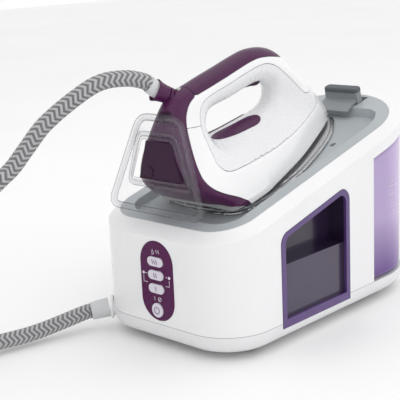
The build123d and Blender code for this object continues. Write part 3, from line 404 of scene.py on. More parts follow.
def mesh_object(name, vertices, faces, material, crease=38.0):
    """Object from vertices and faces, smooth apart from its sharp edges."""
    mesh = bpy.data.meshes.new(name)
    if isinstance(faces, np.ndarray):
        faces = faces.tolist()
    mesh.from_pydata(np.asarray(vertices, float).tolist(), [], faces)
    mesh.validate()
    mesh.update()
    mesh.shade_smooth()
    mesh.set_sharp_from_angle(angle=math.radians(crease))
    mesh.materials.append(material)
    piece = bpy.data.objects.new(name, mesh)
    bpy.context.scene.collection.objects.link(piece)
    return piece


def solid_piece(name, field, low, high, step, material, body, slot_name, *replaced, crease=38.0):
    """Iron piece meshed from a field given in iron millimetres."""
    vertices, quads = contour(field, low, high, step)
    piece = mesh_object(name, iron_world(vertices), quads, material, crease)
    return dress(piece, body, slot_name, *replaced)


def dress(piece, body, slot_name, *replaced):
    """Hang a piece on its body and hide the CAD nodes it replaces."""
    if body:
        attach(piece, body)
    if replaced:
        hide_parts(*replaced)
    return piece


def frame_along(points):
    """Tangents and two steady cross directions along a line of points."""
    tangent = np.gradient(points, axis=0)
    tangent /= np.linalg.norm(tangent, axis=1, keepdims=True)
    side = np.cross(tangent[0], [0.0, 0.0, 1.0])
    sides = []
    for t in tangent:
        side = side - t * (side @ t)
        side /= np.linalg.norm(side)
        sides.append(side)
    sides = np.array(sides)
    return tangent, sides, np.cross(tangent, sides)


def ring_faces(rings, around, capped=True):
    """Quads between rings of vertices. The ends are capped, or joined to each other."""
    faces = []
    for i in range(rings - 1 if capped else rings):
        for j in range(around):
            k, m = (i + 1) % rings, (j + 1) % around
            faces.append((i * around + j, i * around + m, k * around + m, k * around + j))
    if capped:
        faces.append(tuple(range(around))[::-1])
        faces.append(tuple((rings - 1) * around + k for k in range(around)))
    return faces


def cross_rings(side, up, around):
    """Directions of a ring's vertices at each point of a line."""
    turn = np.linspace(0, 2 * np.pi, around, endpoint=False)
    return np.cos(turn)[None, :, None] * side[:, None, :] + np.sin(turn)[None, :, None] * up[:, None, :]


def closed_tube(name, loop, radius, flat, material, around=14):
    """Bar round a closed loop of points, with its cross-section flattened by a factor."""
    padded = np.vstack([loop[-2:], loop, loop[:2]])
    _, side, up = (part[2:-2] for part in frame_along(padded))
    vertices = (loop[:, None, :] + radius * cross_rings(side, flat * up, around)).reshape(-1, 3)
    return mesh_object(name, vertices, ring_faces(len(loop), around, capped=False), material)


def lathe(name, profile, origin, axis, material, around=48, crease=32.0):
    """Turned solid: (distance along, radius) points in millimetres round a unit axis."""
    side = np.cross(axis, [0.0, 0.0, 1.0])
    side /= np.linalg.norm(side)
    ring = cross_rings(side[None, :], np.cross(axis, side)[None, :], around)[0]
    vertices = np.concatenate([origin + axis * a * MM + ring * r * MM for a, r in profile])
    return mesh_object(name, vertices, ring_faces(len(profile), around), material, crease)


# ---------------------------------------------------------------- the iron's outer form
# Side-view outlines are (along, above) the soleplate in millimetres.
silhouette = [(-4, -40), (-5, 2), (-9, 14), (-24, 34), (-31, 56), (-27, 80), (-15, 103), (4, 117),
              (34, 120), (67, 121), (99, 122), (116, 121), (135, 115.5), (151, 105), (171, 81.5),
              (186, 62.5), (197, 47), (208, 35), (216, 23), (221, 10), (222, -10), (222, -40)]
opening = [(29, 80), (28, 72), (33, 63.5), (50, 62), (80, 60.5), (108, 59.5), (124, 62), (131, 69),
           (130, 77), (120, 84.5), (104, 87.5), (70, 87.2), (40, 88)]
# Half widths: plan_half by distance along, heel_half by height.
plan_half = [(-60, 56.5), (34, 56.5), (59, 53), (88, 47), (127, 38), (181, 20), (205, 10), (222, 0.5)]
heel_half = [(-40, 56), (8, 56), (16, 54), (40, 44), (62, 31), (84, 21), (104, 15.5), (121, 14), (150, 14)]
# Heights by distance along: the chine round the body, and the body's lower edge.
chine_height = [(-60, 44), (0, 43), (13, 42), (48, 37), (88, 32), (138, 30.5), (182, 33), (195, 40),
                (203, 50), (240, 60)]
lower_edge = [(-60, 18), (-12, 18), (-2, 13.6), (16, 9), (40, 7.5), (260, 7.5)]
handle_half = 14.5
round_over = 15.5
seam_gap = 0.28            # each side of a seam
body_taper = 0.13          # share of the plan width lost between the lower edge and the chine
cove_share = 0.87          # width left above the chine, as a share of the plan width
saddle_w = 64              # height where the cove under the handle ends
heel_blend = (-4, 72)      # where the heel's own width gives way to the plan's, and over what length


def smooth_step(x):
    """Rounded rise from 0 to 1."""
    x = np.clip(x, 0, 1)
    return x * x * (3 - 2 * x)


def profile(points):
    """Function of one variable through a few points, rounded between them."""
    line = smooth_line(points, closed=False, per_span=64)
    return lambda x: np.interp(x, line[:, 0], line[:, 1])


plan_at, heel_at, chine_at, edge_at = (
    profile(points) for points in (plan_half, heel_half, chine_height, lower_edge))
silhouette_region = Region(smooth_line(silhouette, per_span=20))
opening_region = Region(smooth_line(opening, per_span=20))


def iron_half(u, w):
    """Half width of the iron at a place in the side view, before its edges round over."""
    plan = plan_at(u)
    chine = chine_at(u)
    lower = plan * (1 - body_taper * np.clip((w - 8) / (chine - 8), 0, 1) ** 1.4)
    top = np.minimum(handle_half, cove_share * plan)
    rise = np.clip((w - chine) / (saddle_w - chine), 0, 1)
    cove = np.where(w < chine, lower, top + (cove_share * plan - top) * (1 - rise) ** 1.9)
    ahead = smooth_step((u - heel_blend[0]) / heel_blend[1])
    return np.maximum(heel_at(w) * (1 - ahead) + cove * ahead, 0.3)


def iron_form(x, u, w):
    """Negative inside the iron's body and handle."""
    depth = -np.maximum(silhouette_region(u, w), -opening_region(u, w))
    half = iron_half(u, w)
    # The cross-section is an ellipse along the body and squarer low on the heel.
    power = 2 + 1.6 * smooth_step((20 - u) / 40) * smooth_step((104 - w) / 40)
    edge = np.maximum(0, 1 - depth / round_over)
    form = ((np.abs(x) / half) ** power + edge ** power) ** (1 / power) - 1
    return np.maximum(form * np.minimum(round_over, half), edge_at(u) - w)


# Seams between the shells, as (along, above), each closed outside the form by a few far points.
cover_line = [(164, 96), (158, 96.5), (148.6, 100.3), (130, 108), (107, 112.7), (62, 111.4), (21, 110.5)]
heel_line = [(21, 110.5), (12, 108), (5, 103.6), (-2, 95), (-9.9, 75.4), (-17, 56), (-18.5, 46),
             (-14, 36.5), (-5, 28), (6.7, 19.6), (16, 11), (19, 5)]
core_line = [(8, 60), (10.5, 76), (13.5, 87), (21, 98.5), (34, 103.8), (67, 104.5), (91, 105.5),
             (112, 105.2), (125, 102.6), (137.3, 95.2), (153.5, 77.2), (169, 56.5), (173, 52.5), (179, 51.5),
             (190, 57)]
chine_line = [(199, 46), (191, 38), (180.6, 33.3), (136.4, 31.3), (86.9, 32.8), (47, 37.9), (19.5, 40.4),
              (12, 42), (7.3, 45.6), (5, 52)]
cover_region = Region(np.vstack([smooth_line(cover_line, False), [(18, 140), (190, 140), (190, 90)]]))
heel_region = Region(np.vstack([smooth_line(heel_line, False),
                                [(19, -10), (-70, -10), (-70, 140), (18, 140)]]))
core_region = Region(np.vstack([smooth_line(core_line[:-1], False), [(230, 70)],
                                smooth_line(chine_line, False)]))
upper_region = Region([(-70, 98), (-4, 89.4), (12, 85), (40, 80), (140, 60), (172, 45), (230, 52), (260, 60),
                       (260, 160), (-70, 160)])

iron_low, iron_high = (-60.0, -38.0, -4.0), (60.0, 226.0, 126.0)   # box that holds the iron's form
shell_step = 1.5


def part_of_iron(*limits):
    """Field of the iron's form cut down by regions. Each limit is (region, sign)."""
    def field(x, u, w):
        value = iron_form(x, u, w)
        for region, sign in limits:
            value = np.maximum(value, sign * region(u, w) + seam_gap)
        return value
    return field


def build_shells():
    """The five shells of the iron above its skirt."""
    outside = [(cover_region, -1), (heel_region, -1), (core_region, -1)]
    for name, limits, material, slot_name, replaced in (
            ("handle_top_cover", [(cover_region, 1)], PURPLE, "purple_plastic", "top_cover"),
            ("heel_housing", [(heel_region, 1), (cover_region, -1)], PURPLE, "purple_plastic", "heel_cover"),
            ("handle_inner", [(core_region, 1), (cover_region, -1), (heel_region, -1)], WHITE_CORE,
             "white_plastic", "handle_core"),
            ("handle_outer", outside + [(upper_region, 1)], WHITE_IRON, "white_plastic",
             "handle_shell"),
            ("iron_body", outside + [(upper_region, -1)], WHITE_IRON, "white_plastic", "body_shell")):
        solid_piece(name, part_of_iron(*limits), iron_low, iron_high, shell_step, material, "iron",
                    slot_name, replaced)


build_shells()


# ---------------------------------------------------------------- soleplate, skirt and trim
# Right side of the soleplate from heel to tip, as (across, along).
sole_side = [(0, -0.5), (26, 0.8), (42, 4.5), (51, 13), (55.5, 30), (57, 60), (54.5, 97), (49.5, 121),
             (40.5, 155), (28.5, 187), (14.5, 211), (5, 224), (0, 228)]


def mirrored(side):
    """Closed outline from its right side."""
    line = smooth_line(side, closed=False)
    return np.vstack([line, (line * (-1, 1))[-2:0:-1]])


sole_region = Region(mirrored(sole_side), margin=40.0)
trigger_region = Region(smooth_line([(91, 92), (95, 88.7), (104, 86.6), (112, 84.2), (118, 84.6), (120, 88.5),
                                     (117, 93), (104, 96), (93, 96)]), margin=25.0)


def rounded_slab(edge, w, low, high, radius):
    """Plate between two heights with its rim rounded."""
    rim = edge + radius
    level = np.abs(w - (low + high) / 2) - (high - low) / 2 + radius
    return np.hypot(np.maximum(rim, 0), np.maximum(level, 0)) + np.minimum(np.maximum(rim, level), 0) - radius


def sole_form(x, u, w):
    """Soleplate with a thin lip that stands out round its lower face."""
    edge = sole_region(x, u)
    lip = rounded_slab(edge, w, 0.0, 2.2, 1.05)
    step_up = rounded_slab(edge + 3.2, w, 0.2, 4.0, 0.8)
    return np.minimum(lip, step_up)


skirt_corner = 14          # radius of the skirt's rear corners
skirt_low, skirt_high = 3, 16


def skirt_form(x, u, w):
    """Grey band between the soleplate and the body, set in a little from the body's flank."""
    side = np.abs(x) - (plan_at(u) - 1.2 - 2.4 * smooth_step((u - 30) / 60))
    rear = 1.5 - u
    corner = (np.hypot(np.maximum(side + skirt_corner, 0), np.maximum(rear + skirt_corner, 0))
              - skirt_corner)
    at_corner = (side > -skirt_corner) & (rear > -skirt_corner)
    plan = np.where(at_corner, corner, np.maximum(side, rear))
    level = np.abs(w - (skirt_low + skirt_high) / 2) - (skirt_high - skirt_low) / 2
    return np.maximum(plan, level + np.maximum(skirt_high - edge_at(u), 0))


def badge_form(x, u, w):
    """Lozenge that lies on each flank of the saddle under the handle."""
    flank = np.abs(np.abs(x) - 9.6 - 0.028 * (u - 68)) - 5.6
    length = np.abs(u - 68) - 34
    lozenge = np.hypot(np.maximum(flank + 5.4, 0), np.maximum(length + 15, 0) * 0.36) - 5.4
    skin = np.abs(iron_form(x, u, w)) - 0.75
    return np.maximum(np.maximum(lozenge, skin), 46 - w)


def trigger_form(x, u, w):
    """Trigger key with its long edges rounded."""
    round_edge = 2.2
    outline = np.maximum(trigger_region(u, w) + round_edge, 0)
    return np.hypot(np.maximum(np.abs(x) - 4.5, 0), outline) - round_edge


def build_trim():
    solid_piece("soleplate_polished", sole_form, (-59, -3, -1), (59, 230, 6), 1.3, CHROME, "iron",
                "sole_metal", "soleplate")
    solid_piece("sole_skirt_band", skirt_form, (-58, -2, 2), (58, 224, 18), 1.4, GREY_SKIRT, "iron",
                "grey_plastic", "sole_skirt")
    solid_piece("badge_lozenge", badge_form, (-20, 28, 44), (20, 108, 70), 0.8, PURPLE, "iron",
                "purple_plastic", "badge_plate")
    solid_piece("steam_trigger_key", trigger_form, (-9, 88, 80), (9, 124, 99), 0.8, PURPLE_DARK, "trigger",
                "purple_plastic", "steam_trigger")


build_trim()


# ---------------------------------------------------------------- clear heel rest and its dark panel
def rest_loop(top_half, bottom_half, top, bottom, corner, count=96):
    """Rounded trapezium behind the heel. Top and bottom are (along, above)."""
    corners = [np.array(p, float) for p in ((-bottom_half, *bottom), (bottom_half, *bottom),
                                            (top_half, *top), (-top_half, *top))]
    line = []
    for i, here in enumerate(corners):
        before, after = corners[i - 1], corners[(i + 1) % 4]
        back = (before - here) / np.linalg.norm(before - here)
        on = (after - here) / np.linalg.norm(after - here)
        for t in np.linspace(0, 1, 9):
            line.append(here + corner * ((1 - t) ** 2 * back + t ** 2 * on))
    line = np.array(line + line[:1])
    length = np.concatenate([[0], np.cumsum(np.linalg.norm(np.diff(line, axis=0), axis=1))])
    at = np.linspace(0, length[-1], count, endpoint=False)
    return np.stack([np.interp(at, length, line[:, k]) for k in range(3)], 1)


def loop_band(name, loops, material):
    """Closed band whose cross-section runs through matching loops."""
    count = len(loops[0])
    faces = ring_faces(len(loops), count, capped=False)
    return mesh_object(name, iron_world(np.concatenate(loops)), faces, material, crease=60)


def panel_form(x, u, w):
    """Dark trapezium behind the clear rest, with a round boss on its left."""
    half = 29.5 - (w - 40) * 0.325
    face = np.abs(u + 34.0 - (w - 41) * 0.245) - 3.0
    plate = np.maximum(np.maximum(np.abs(x) - half, np.abs(w - 66.5) - 17.5), face)
    boss = np.hypot(x + 13, w - 56) - 5.2
    return np.minimum(plate, np.maximum(boss, face - 0.8))


def build_heel_rest():
    """Clear sheet with three rims, over a dark panel."""
    inner = rest_loop(23, 40, (-25.5, 91), (-37, 44), 7)
    outer = rest_loop(26, 59, (-17, 103.5), (-49.5, 25), 11)
    out_of_face = np.array([0.0, -0.94, 0.34])
    half_sheet = 0.9
    sheet = [inner + (outer - inner) * share + out_of_face * lift
             for share, lift in ((0, half_sheet), (1, half_sheet), (1, -half_sheet), (0, -half_sheet))]
    clear_rest = loop_band("heel_rest_clear", sheet, CLEAR_REST)
    dress(clear_rest, "iron", "clear_plastic", "heel_rest")
    for name, loop, radius, flat in (
            ("heel_rest_rim", outer, 2.7, 1.25), ("heel_rest_inner_rim", inner, 1.5, 1.5),
            ("heel_panel_rim", rest_loop(20, 36.5, (-27, 87.5), (-36.5, 48.5), 5), 1.2, 1.3)):
        rim = closed_tube(name, iron_world(loop), radius * MM, flat, CLEAR_EDGE)
        dress(rim, "iron", "clear_plastic", "heel_rest")
    solid_piece("heel_panel_dark", panel_form, (-30, -38, 38), (30, -20, 86), 0.9, PURPLE_DARK, "iron",
                "purple_plastic", "heel_panel")


build_heel_rest()


# ---------------------------------------------------------------- hose collar, cuffs and hose
def unit(vector):
    return np.array(vector) / np.linalg.norm(vector)


SWIVEL = iron_world((0, 14, 108))
collar_axis, cuff_axis, lower_axis = (
    unit(v) for v in ((-0.405, -0.804, 0.433), (-0.358, -0.711, 0.605), (-0.60, -0.786, -0.15)))
CUFF_BASE = SWIVEL + collar_axis * 22 * MM
lower_cuff_points = node_points("lower_hose_cuff")
lower_cuff_middle = lower_cuff_points.mean(0)
lower_cuff_end = lower_cuff_middle + lower_axis * (
    (lower_cuff_points @ lower_axis).max() - lower_cuff_middle @ lower_axis)
hose_radius = 7.5 * MM
braid_pitch = 5.2 * MM
braid_lift = 0.22 * MM     # how far the yarns stand proud
chevrons = 4               # round the hose
chevron_slant = 1.5
hose_step = 0.9 * MM       # between the hose's rings


def ribbed(start, radii, width, groove):
    """Profile of rings side by side with narrow grooves between them."""
    points = [(start, 0.5), (start, radii[0] - 0.8)]
    at = start
    for radius in radii:
        points += [(at, radius - 0.8), (at + 0.5, radius), (at + width - 0.5, radius),
                   (at + width, radius - 0.8), (at + width, radius - 1.6),
                   (at + width + groove, radius - 1.6)]
        at += width + groove
    return points, at


def mouth_shade_form(x, u, w):
    """Dark oval skin on the heel below the collar: painted shade of a mouth let into the heel."""
    across = x - 1.5
    mouth = np.hypot(np.maximum(np.abs(across) - 4.0, 0), w - 104.5) - 3.0
    return np.maximum(mouth, np.abs(iron_form(x, u, w)) - 0.35)


def build_collar():
    """Painted shade of a mouth in the heel, the ribbed collar and the two hose cuffs."""
    # A thin dark sheet on the heel surface: painted shade of the collar's mouth, not a hole.
    solid_piece("heel_mouth_painted_shade", mouth_shade_form, (-12, -24, 98), (14, -4, 109), 0.7, PURPLE_DARK, "iron",
                "purple_plastic")
    profile_points, end = ribbed(3.5, (7.4, 7.7, 8.0, 8.2), 3.2, 0.5)
    lip = [(0, 8.4), (2, 8.7), (5.5, 9.4), (8.6, 10.6), (9.2, 10.5), (8.9, 9.9), (4.2, 8.5), (-2, 8.1),
           (-2, 0.5)]
    profile_points += [(end + along, radius) for along, radius in lip]
    collar = lathe("hose_collar_ribbed", profile_points, SWIVEL, collar_axis, PURPLE)
    dress(collar, "swivel", "purple_plastic", "hose_collar")
    cuff = lathe("hose_cuff_upper", [(-4, 0.5), (-4, 7.9), (12.0, 7.8), (12.6, 7.5), (12.6, 0.5)], CUFF_BASE,
                 cuff_axis, GREY_CUFF)
    dress(cuff, "swivel", "grey_plastic", "upper_hose_cuff")
    lower = lathe("hose_cuff_lower", [(0, 0.5), (0, 8.2), (0.6, 8.9), (9, 9.3), (18.4, 9.5), (18.4, 0.5)],
                  lower_cuff_end, -lower_axis, GREY_CUFF)
    dress(lower, "base", "grey_plastic", "lower_hose_cuff")


def hose_route():
    """Dense centre line of the hose, from the iron's collar down and round to the base."""
    start = CUFF_BASE + cuff_axis * 12.0 * MM
    arch = [(-20.8, -171.5, 251.8), (-29.7, -195, 250.3), (-40.5, -216.4, 238.1), (-53.1, -241.4, 218.1),
            (-61.2, -257.5, 198.1), (-67.5, -270, 182.1), (-74.7, -284.3, 169.1)]
    floor_run = [(-104, -322, 124), (-118, -340, 84), (-128, -330, 36), (-124, -296, 11), (-116, -262, 8.2),
                 (-108, -226, 8.8), (-97.1, -176.7, 15.4)]
    end = lower_cuff_end - lower_axis * 1.0 * MM
    return np.vstack([start, start + cuff_axis * 6 * MM, np.array(arch + floor_run) * MM, end])


def even_steps(line, spacing):
    """The line again, with its points evenly spaced."""
    length = np.concatenate([[0], np.cumsum(np.linalg.norm(np.diff(line, axis=0), axis=1))])
    at = np.linspace(0, length[-1], int(length[-1] / spacing))
    return np.stack([np.interp(at, length, line[:, k]) for k in range(3)], 1)


def braid_material():
    """Woven sleeve: light yarn with darker chevrons, and fine threads in the bump."""
    material, tree, shader = new_material("hose_braid")
    uv = tree.nodes.new("ShaderNodeUVMap")
    split = tree.nodes.new("ShaderNodeSeparateXYZ")
    tree.links.new(uv.outputs[0], split.inputs[0])
    turns = math_node(tree, "MULTIPLY", split.outputs[1], float(chevrons))
    around = math_node(tree, "PINGPONG", turns, 0.5)
    phase = math_node(tree, "ADD", split.outputs[0], math_node(tree, "MULTIPLY", around, chevron_slant))
    stripe = math_node(tree, "PINGPONG", phase, 0.5)
    mask = ramp(tree, stripe, 0.20, 0.28)
    threads = math_node(tree, "SINE", math_node(tree, "MULTIPLY", phase, 37.0))
    light, dark = (blend_colors(tree, low, high, ramp(tree, noise(tree, scale), 0.3, 0.7))
                   for low, high, scale in (((0.47, 0.47, 0.48), (0.60, 0.60, 0.61), 700.0),
                                            ((0.13, 0.13, 0.14), (0.24, 0.24, 0.25), 900.0)))
    tree.links.new(blend_colors(tree, light, dark, mask), shader.inputs["Base Color"])
    shader.inputs["Roughness"].default_value = 0.85
    shader.inputs["Sheen Weight"].default_value = 0.25
    bump = tree.nodes.new("ShaderNodeBump")
    bump.inputs["Strength"].default_value = 0.6
    bump.inputs["Distance"].default_value = 0.0003
    tree.links.new(threads, bump.inputs["Height"])
    tree.links.new(bump.outputs["Normal"], shader.inputs["Normal"])
    return material


def braided_hose(name, points, start_at, material, around=48):
    """Sleeve over a centre line, its yarns standing proud in chevrons."""
    _, side, up = frame_along(points)
    along = start_at + np.concatenate([[0], np.cumsum(np.linalg.norm(np.diff(points, axis=0), axis=1))])
    turn = np.linspace(0, 2 * np.pi, around, endpoint=False)
    zigzag = np.abs(((turn / (2 * np.pi) * chevrons) % 1) - 0.5)
    phase = along[:, None] / braid_pitch + chevron_slant * zigzag[None, :]
    radius = hose_radius - braid_lift + braid_lift * np.cos(phase * 4 * np.pi)
    vertices = (points[:, None, :] + radius[:, :, None] * cross_rings(side, up, around)).reshape(-1, 3)
    piece = mesh_object(name, vertices, ring_faces(len(points), around), material, crease=70)
    layer = piece.data.uv_layers.new(name="UVMap")
    uv = np.zeros((len(piece.data.loops), 2))
    for polygon in piece.data.polygons:
        if len(polygon.vertices) > 4:
            continue
        columns = [v % around for v in polygon.vertices]
        wrap = max(columns) - min(columns) > around / 2
        for loop in polygon.loop_indices:
            index = piece.data.loops[loop].vertex_index
            row, column = divmod(index, around)
            if wrap and column == 0:
                column = around
            uv[loop] = along[row] / braid_pitch, column / around
    layer.data.foreach_set("uv", uv.ravel())
    return piece


def build_hose():
    """The hose in two halves, parted where it is furthest forward."""
    material = braid_material()
    line = even_steps(smooth_line(hose_route(), closed=False, per_span=24), hose_step)
    corner = int(np.argmin(line[:, 1]))
    upper = braided_hose("steam_hose_upper", line[:corner + 1], 0.0, material)
    lower = braided_hose("steam_hose_lower", line[corner:], hose_step * corner, material)
    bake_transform(upper)
    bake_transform(lower)
    dress(upper, None, "hose_braid", "steam_hose")
    dress(lower, None, "hose_braid", "steam_hose")


build_collar()
build_hose()


# ---------------------------------------------------------------- finishes of the carried-over CAD nodes
def pocket_material():
    """Side moulding: purple rim, a very dark pocket above, painted shade of the hollow behind the pane, and a
    paler door below.
    """
    material, tree, shader = new_material("side_pocket")
    across = math_node(tree, "ABSOLUTE", axis_value(tree, 0))
    low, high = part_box("side_pocket_right")
    rim = ramp(tree, across, high.x - 3.2 * MM, high.x - 2.6 * MM)
    door = ramp(tree, axis_value(tree, 2), 75.2 * MM, 76.4 * MM, 1.0, 0.0)
    shade = ramp(tree, noise(tree, 9.0), 0.35, 0.65)
    # The near-black pocket colour is painted shade of the hollow seen through the pane.
    inner = blend_colors(tree, blend_colors(tree, (0.010, 0.004, 0.020), (0.022, 0.009, 0.040), shade),
                         blend_colors(tree, (0.034, 0.023, 0.052), (0.046, 0.032, 0.070), shade), door)
    rim_color = blend_colors(tree, (0.072, 0.030, 0.150), (0.088, 0.040, 0.180), shade)
    tree.links.new(blend_colors(tree, inner, rim_color, rim), shader.inputs["Base Color"])
    shader.inputs["Coat Weight"].default_value = 0.3
    finish_surface(tree, shader, 0.22, 0.05, 900.0, 0.00003)
    return material


POCKET = pocket_material()
finishes = {
    HOUSING: ["upper_shell"],
    WHITE: ["hose_flange", "tank_coupling", "water_pump"],
    PAN_WHITE: ["bottom_pan"],
    RUBBER: ["rubber_feet", "trigger_switch", "cord_grommet"],
    STEEL: ["base_screws", "lever_pin", "lever_spring", "steam_boiler", "boiler_heater", "steam_chamber",
            "iron_heater", "trigger_pin", "swivel_pin", "flap_pin"],
    BRASS: ["safety_valve", "steam_valve", "thermostat"],
    BOARD: ["control_board", "power_board"],
    SILICONE: ["water_tube", "steam_tube", "outlet_tube", "iron_steam_tube", "tank_valve"],
    GREY_TRAY: ["iron_tray"],
    GREY_LEVER: ["lock_lever"],
    GREY_PAD: ["lever_pad"],
    PANEL: ["control_panel"],
    BUTTON: ["steam_high_button", "steam_medium_button", "steam_low_button", "power_button"],
    GLYPH_LIGHT: ["indicator_lenses"],
    PURPLE: ["hose_swivel"],
    TANK: ["water_tank"],
    FLAP: ["tank_flap"],
    POCKET: ["side_pocket_left", "side_pocket_right"],
    CORD: ["power_cord", "power_plug"],
}
for material, names in finishes.items():
    for name in names:
        nodes[name].data.materials.clear()
        nodes[name].data.materials.append(material)

softened = {"lock_lever": 1.2, "lever_pad": 2.4, "steam_high_button": 0.8, "steam_medium_button": 0.8,
            "steam_low_button": 0.8, "power_button": 0.8, "control_panel": 0.7, "hose_flange": 0.6}
for name, width in softened.items():
    bevel = nodes[name].modifiers.new("soft_edges", "BEVEL")
    bevel.width = width * MM
    bevel.segments = 3
    bevel.limit_method = "ANGLE"
    bevel.angle_limit = math.radians(40)


# ---------------------------------------------------------------- printed marks
sunk = 0.1                 # how deep a mark starts below the face it is printed on


def ribbon(lines, width, place, thickness=0.25):
    """Vertices and faces of flat strips along lines. place turns (across, up, out) in millimetres
    into the row frame."""
    vertices, faces = [], []
    for line in lines:
        line = np.array(line, float)
        run = np.gradient(line, axis=0)
        run /= np.linalg.norm(run, axis=1, keepdims=True) + 1e-9
        cross = np.stack([-run[:, 1], run[:, 0]], 1) * width / 2
        first = len(vertices)
        for point, away in zip(line, cross):
            for side, out in ((-1, 0.0), (1, 0.0), (1, thickness), (-1, thickness)):
                vertices.append(place(*(point + side * away), out))
        faces += [tuple(first + k for k in face) for face in ring_faces(len(line), 4)]
    return vertices, faces


def front_face(name):
    """Placer for marks on the front of a CAD node, measured from the node's middle."""
    low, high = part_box(name)
    middle = (low + high) / 2
    return lambda across, up, out: (middle.x + across * MM, low.y - (out - sunk) * MM, middle.z + up * MM)


def arc(center, radius, start, end, count=24):
    """Points of an arc between two angles in degrees."""
    return [(center[0] + radius * math.cos(a), center[1] + radius * math.sin(a))
            for a in np.radians(np.linspace(start, end, count))]


def wave(across, height, count=13):
    """Small upright wisp of steam."""
    return [(across + 0.55 * math.sin(t * 2 * math.pi), (t - 0.5) * height) for t in np.linspace(0, 1, count)]


def panel_lines():
    """Marks on the control panel, in millimetres from its middle."""
    low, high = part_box("indicator_lenses")
    panel_low, panel_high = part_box("control_panel")
    lens_x = (high.x - low.x) / 2 / MM - 1.5
    lens_z = ((high + low) / 2 - (panel_high + panel_low) / 2).z / MM
    lines = []
    for side in (-1, 1):
        lines.append([(side * lens_x, lens_z - drop) for drop in (2.4, 5, 8.6)]
                     + [(side * (lens_x - inward), lens_z - 8.6) for inward in (2.5, 5)])
        lines.append([(side * (lens_x - inward), lens_z) for inward in (2.2, 4.6)])
    lines += [arc((-3.4, 27.4), 1.5, 200, 520, 16), [(-3.4, 28.9), (-3.4, 30.6)]]
    lines += [[(across + 0.5 * math.sin(t), 27.2 + t * 0.5) for t in np.linspace(0, 7, 12)]
              for across in (1.6, 4.4)]
    lines += [arc((3.0, -17.2), 1.9, 0, 350, 20), [(1.9, -18.3), (4.1, -16.1)],
              [(-3.2, -15.4), (-4.2, -17.2), (-2.8, -17.2), (-3.8, -19.0)]]
    return lines


def build_marks():
    """Generic marks on the buttons and the control panel."""
    for count, name in ((3, "steam_high"), (2, "steam_medium"), (1, "steam_low")):
        lines = [wave(2.6 * (k - (count - 1) / 2), 4.4) for k in range(count)]
        piece = mesh_object(f"mark_{name}", *ribbon(lines, 0.75, front_face(f"{name}_button")), GLYPH)
        dress(piece, name, "panel_plastic")
    lines = [arc((0, 0), 3.2, 120, 420, 36), [(0, 1.2), (0, 2.8), (0, 4.2)]]
    piece = mesh_object("mark_power", *ribbon(lines, 0.8, front_face("power_button")), GLYPH)
    dress(piece, "power", "panel_plastic")
    piece = mesh_object("mark_panel", *ribbon(panel_lines(), 0.5, front_face("control_panel")), GLYPH_LIGHT)
    dress(piece, "base", "panel_plastic")


TANK_RADIUS = 91.7         # of the tank's round rear, in millimetres
TANK_CENTER_Y = 74.5


def tank_place(along, up, out):
    """Place on the tank's round flank: along is the row's Y and up is its Z, in millimetres."""
    reach = math.sqrt(TANK_RADIUS ** 2 - max(along - TANK_CENTER_Y, 0) ** 2)
    return ((reach + out - sunk) * MM, along * MM, up * MM)


def build_tank_marks():
    """Level lines and an arrow on the tank's right flank."""
    lines = [[(y, 117) for y in np.linspace(80, 97, 8)]]
    lines += [[(y, z) for y in np.linspace(84, 93, 5)] for z in (108, 99, 90)]
    lines += [[(82, 119.4), (85, 122.6), (88, 119.4)]]
    piece = mesh_object("mark_tank_level", *ribbon(lines, 0.7, tank_place), GLYPH_LIGHT)
    dress(piece, "tank", "tank_plastic")


build_marks()
build_tank_marks()


# ---------------------------------------------------------------- camera, light and floor
def build_floor():
    """Pale floor just below the object."""
    half, gap = 6.0, 0.0004
    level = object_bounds()[0].z - gap
    mesh = bpy.data.meshes.new("floor")
    mesh.from_pydata([(x, y, level) for x, y in ((-half, -half), (half, -half), (half, half), (-half, half))],
                     [], [(0, 1, 2, 3)])
    floor = bpy.data.objects.new("floor", mesh)
    bpy.context.scene.collection.objects.link(floor)
    mesh.materials.append(plastic("floor_pale", (0.93, 0.93, 0.93), rough=0.6, variation=0.01, grain=60.0,
                                  coverage=2.0))


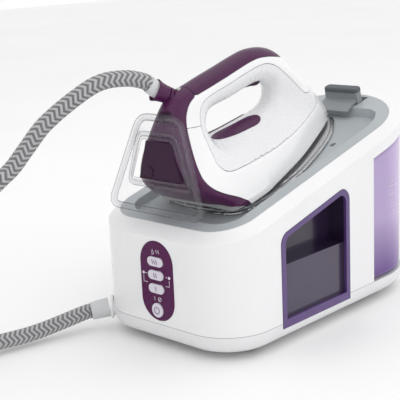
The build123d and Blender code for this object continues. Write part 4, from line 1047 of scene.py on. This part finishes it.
def build_world():
    """White surroundings, a little brighter to the right, the rear and above."""
    world = bpy.data.worlds.new("studio")
    bpy.context.scene.world = world
    world.use_nodes = True
    tree = world.node_tree
    background = tree.nodes["Background"]
    background.inputs["Color"].default_value = (1.0, 1.0, 1.0, 1)
    place = tree.nodes.new("ShaderNodeTexCoord")
    split = tree.nodes.new("ShaderNodeSeparateXYZ")
    tree.links.new(place.outputs["Generated"], split.inputs[0])
    across, along, above = (math_node(tree, "MULTIPLY", split.outputs[axis], share)
                            for axis, share in enumerate((0.8, 0.45, 0.3)))
    toward_light = math_node(tree, "ADD", math_node(tree, "ADD", across, along), above)
    strength = ramp(tree, toward_light, -1.0, 1.0, 0.70, 1.16)
    path = tree.nodes.new("ShaderNodeLightPath")
    tree.links.new(math_node(tree, "MAXIMUM", strength, path.outputs["Is Camera Ray"]),
                   background.inputs["Strength"])


def build_lamps():
    """Four large soft lamps, each turned to the object."""
    for name, place, size, power in (
            ("key", (0.5, -1.3, 1.5), 1.2, 2.0), ("side", (1.6, 0.1, 0.9), 1.0, 1.2),
            ("left", (-1.4, -0.7, 1.0), 1.0, 0.4), ("top", (0.0, 0.3, 1.9), 1.4, 3.0)):
        light = bpy.data.lights.new(name, "AREA")
        light.energy, light.size = power, size
        lamp = bpy.data.objects.new(name, light)
        bpy.context.scene.collection.objects.link(lamp)
        lamp.location = place
        lamp.rotation_euler = (Vector((0, 0, 0.1)) - Vector(place)).to_track_quat("-Z", "Y").to_euler()


def build_camera():
    """Camera in front and to the right, aimed at the middle of the object."""
    azimuth, elevation, roll = (math.radians(d) for d in (43.60, 13.69, -2.59))
    aim = Vector((-0.0647, -0.0369, 0.1061))
    distance = 1.060
    focal_length, sensor = 90.9, 36.0
    back = Vector((math.sin(azimuth) * math.cos(elevation), -math.cos(azimuth) * math.cos(elevation),
                   math.sin(elevation)))
    right = Vector((math.cos(azimuth), math.sin(azimuth), 0))
    up = back.cross(right)
    data = bpy.data.cameras.new("camera")
    data.lens, data.sensor_width = focal_length, sensor
    camera = bpy.data.objects.new("camera", data)
    bpy.context.scene.collection.objects.link(camera)
    turned = right * math.cos(roll) + up * math.sin(roll)
    upright = up * math.cos(roll) - right * math.sin(roll)
    camera.matrix_world = Matrix((turned, upright, back)).transposed().to_4x4()
    camera.location = aim + back * distance
    data.clip_start, data.clip_end = 0.05, 20
    bpy.context.scene.camera = camera


build_floor()
build_world()
build_lamps()
build_camera()
bpy.context.scene.view_settings.view_transform = "Standard"
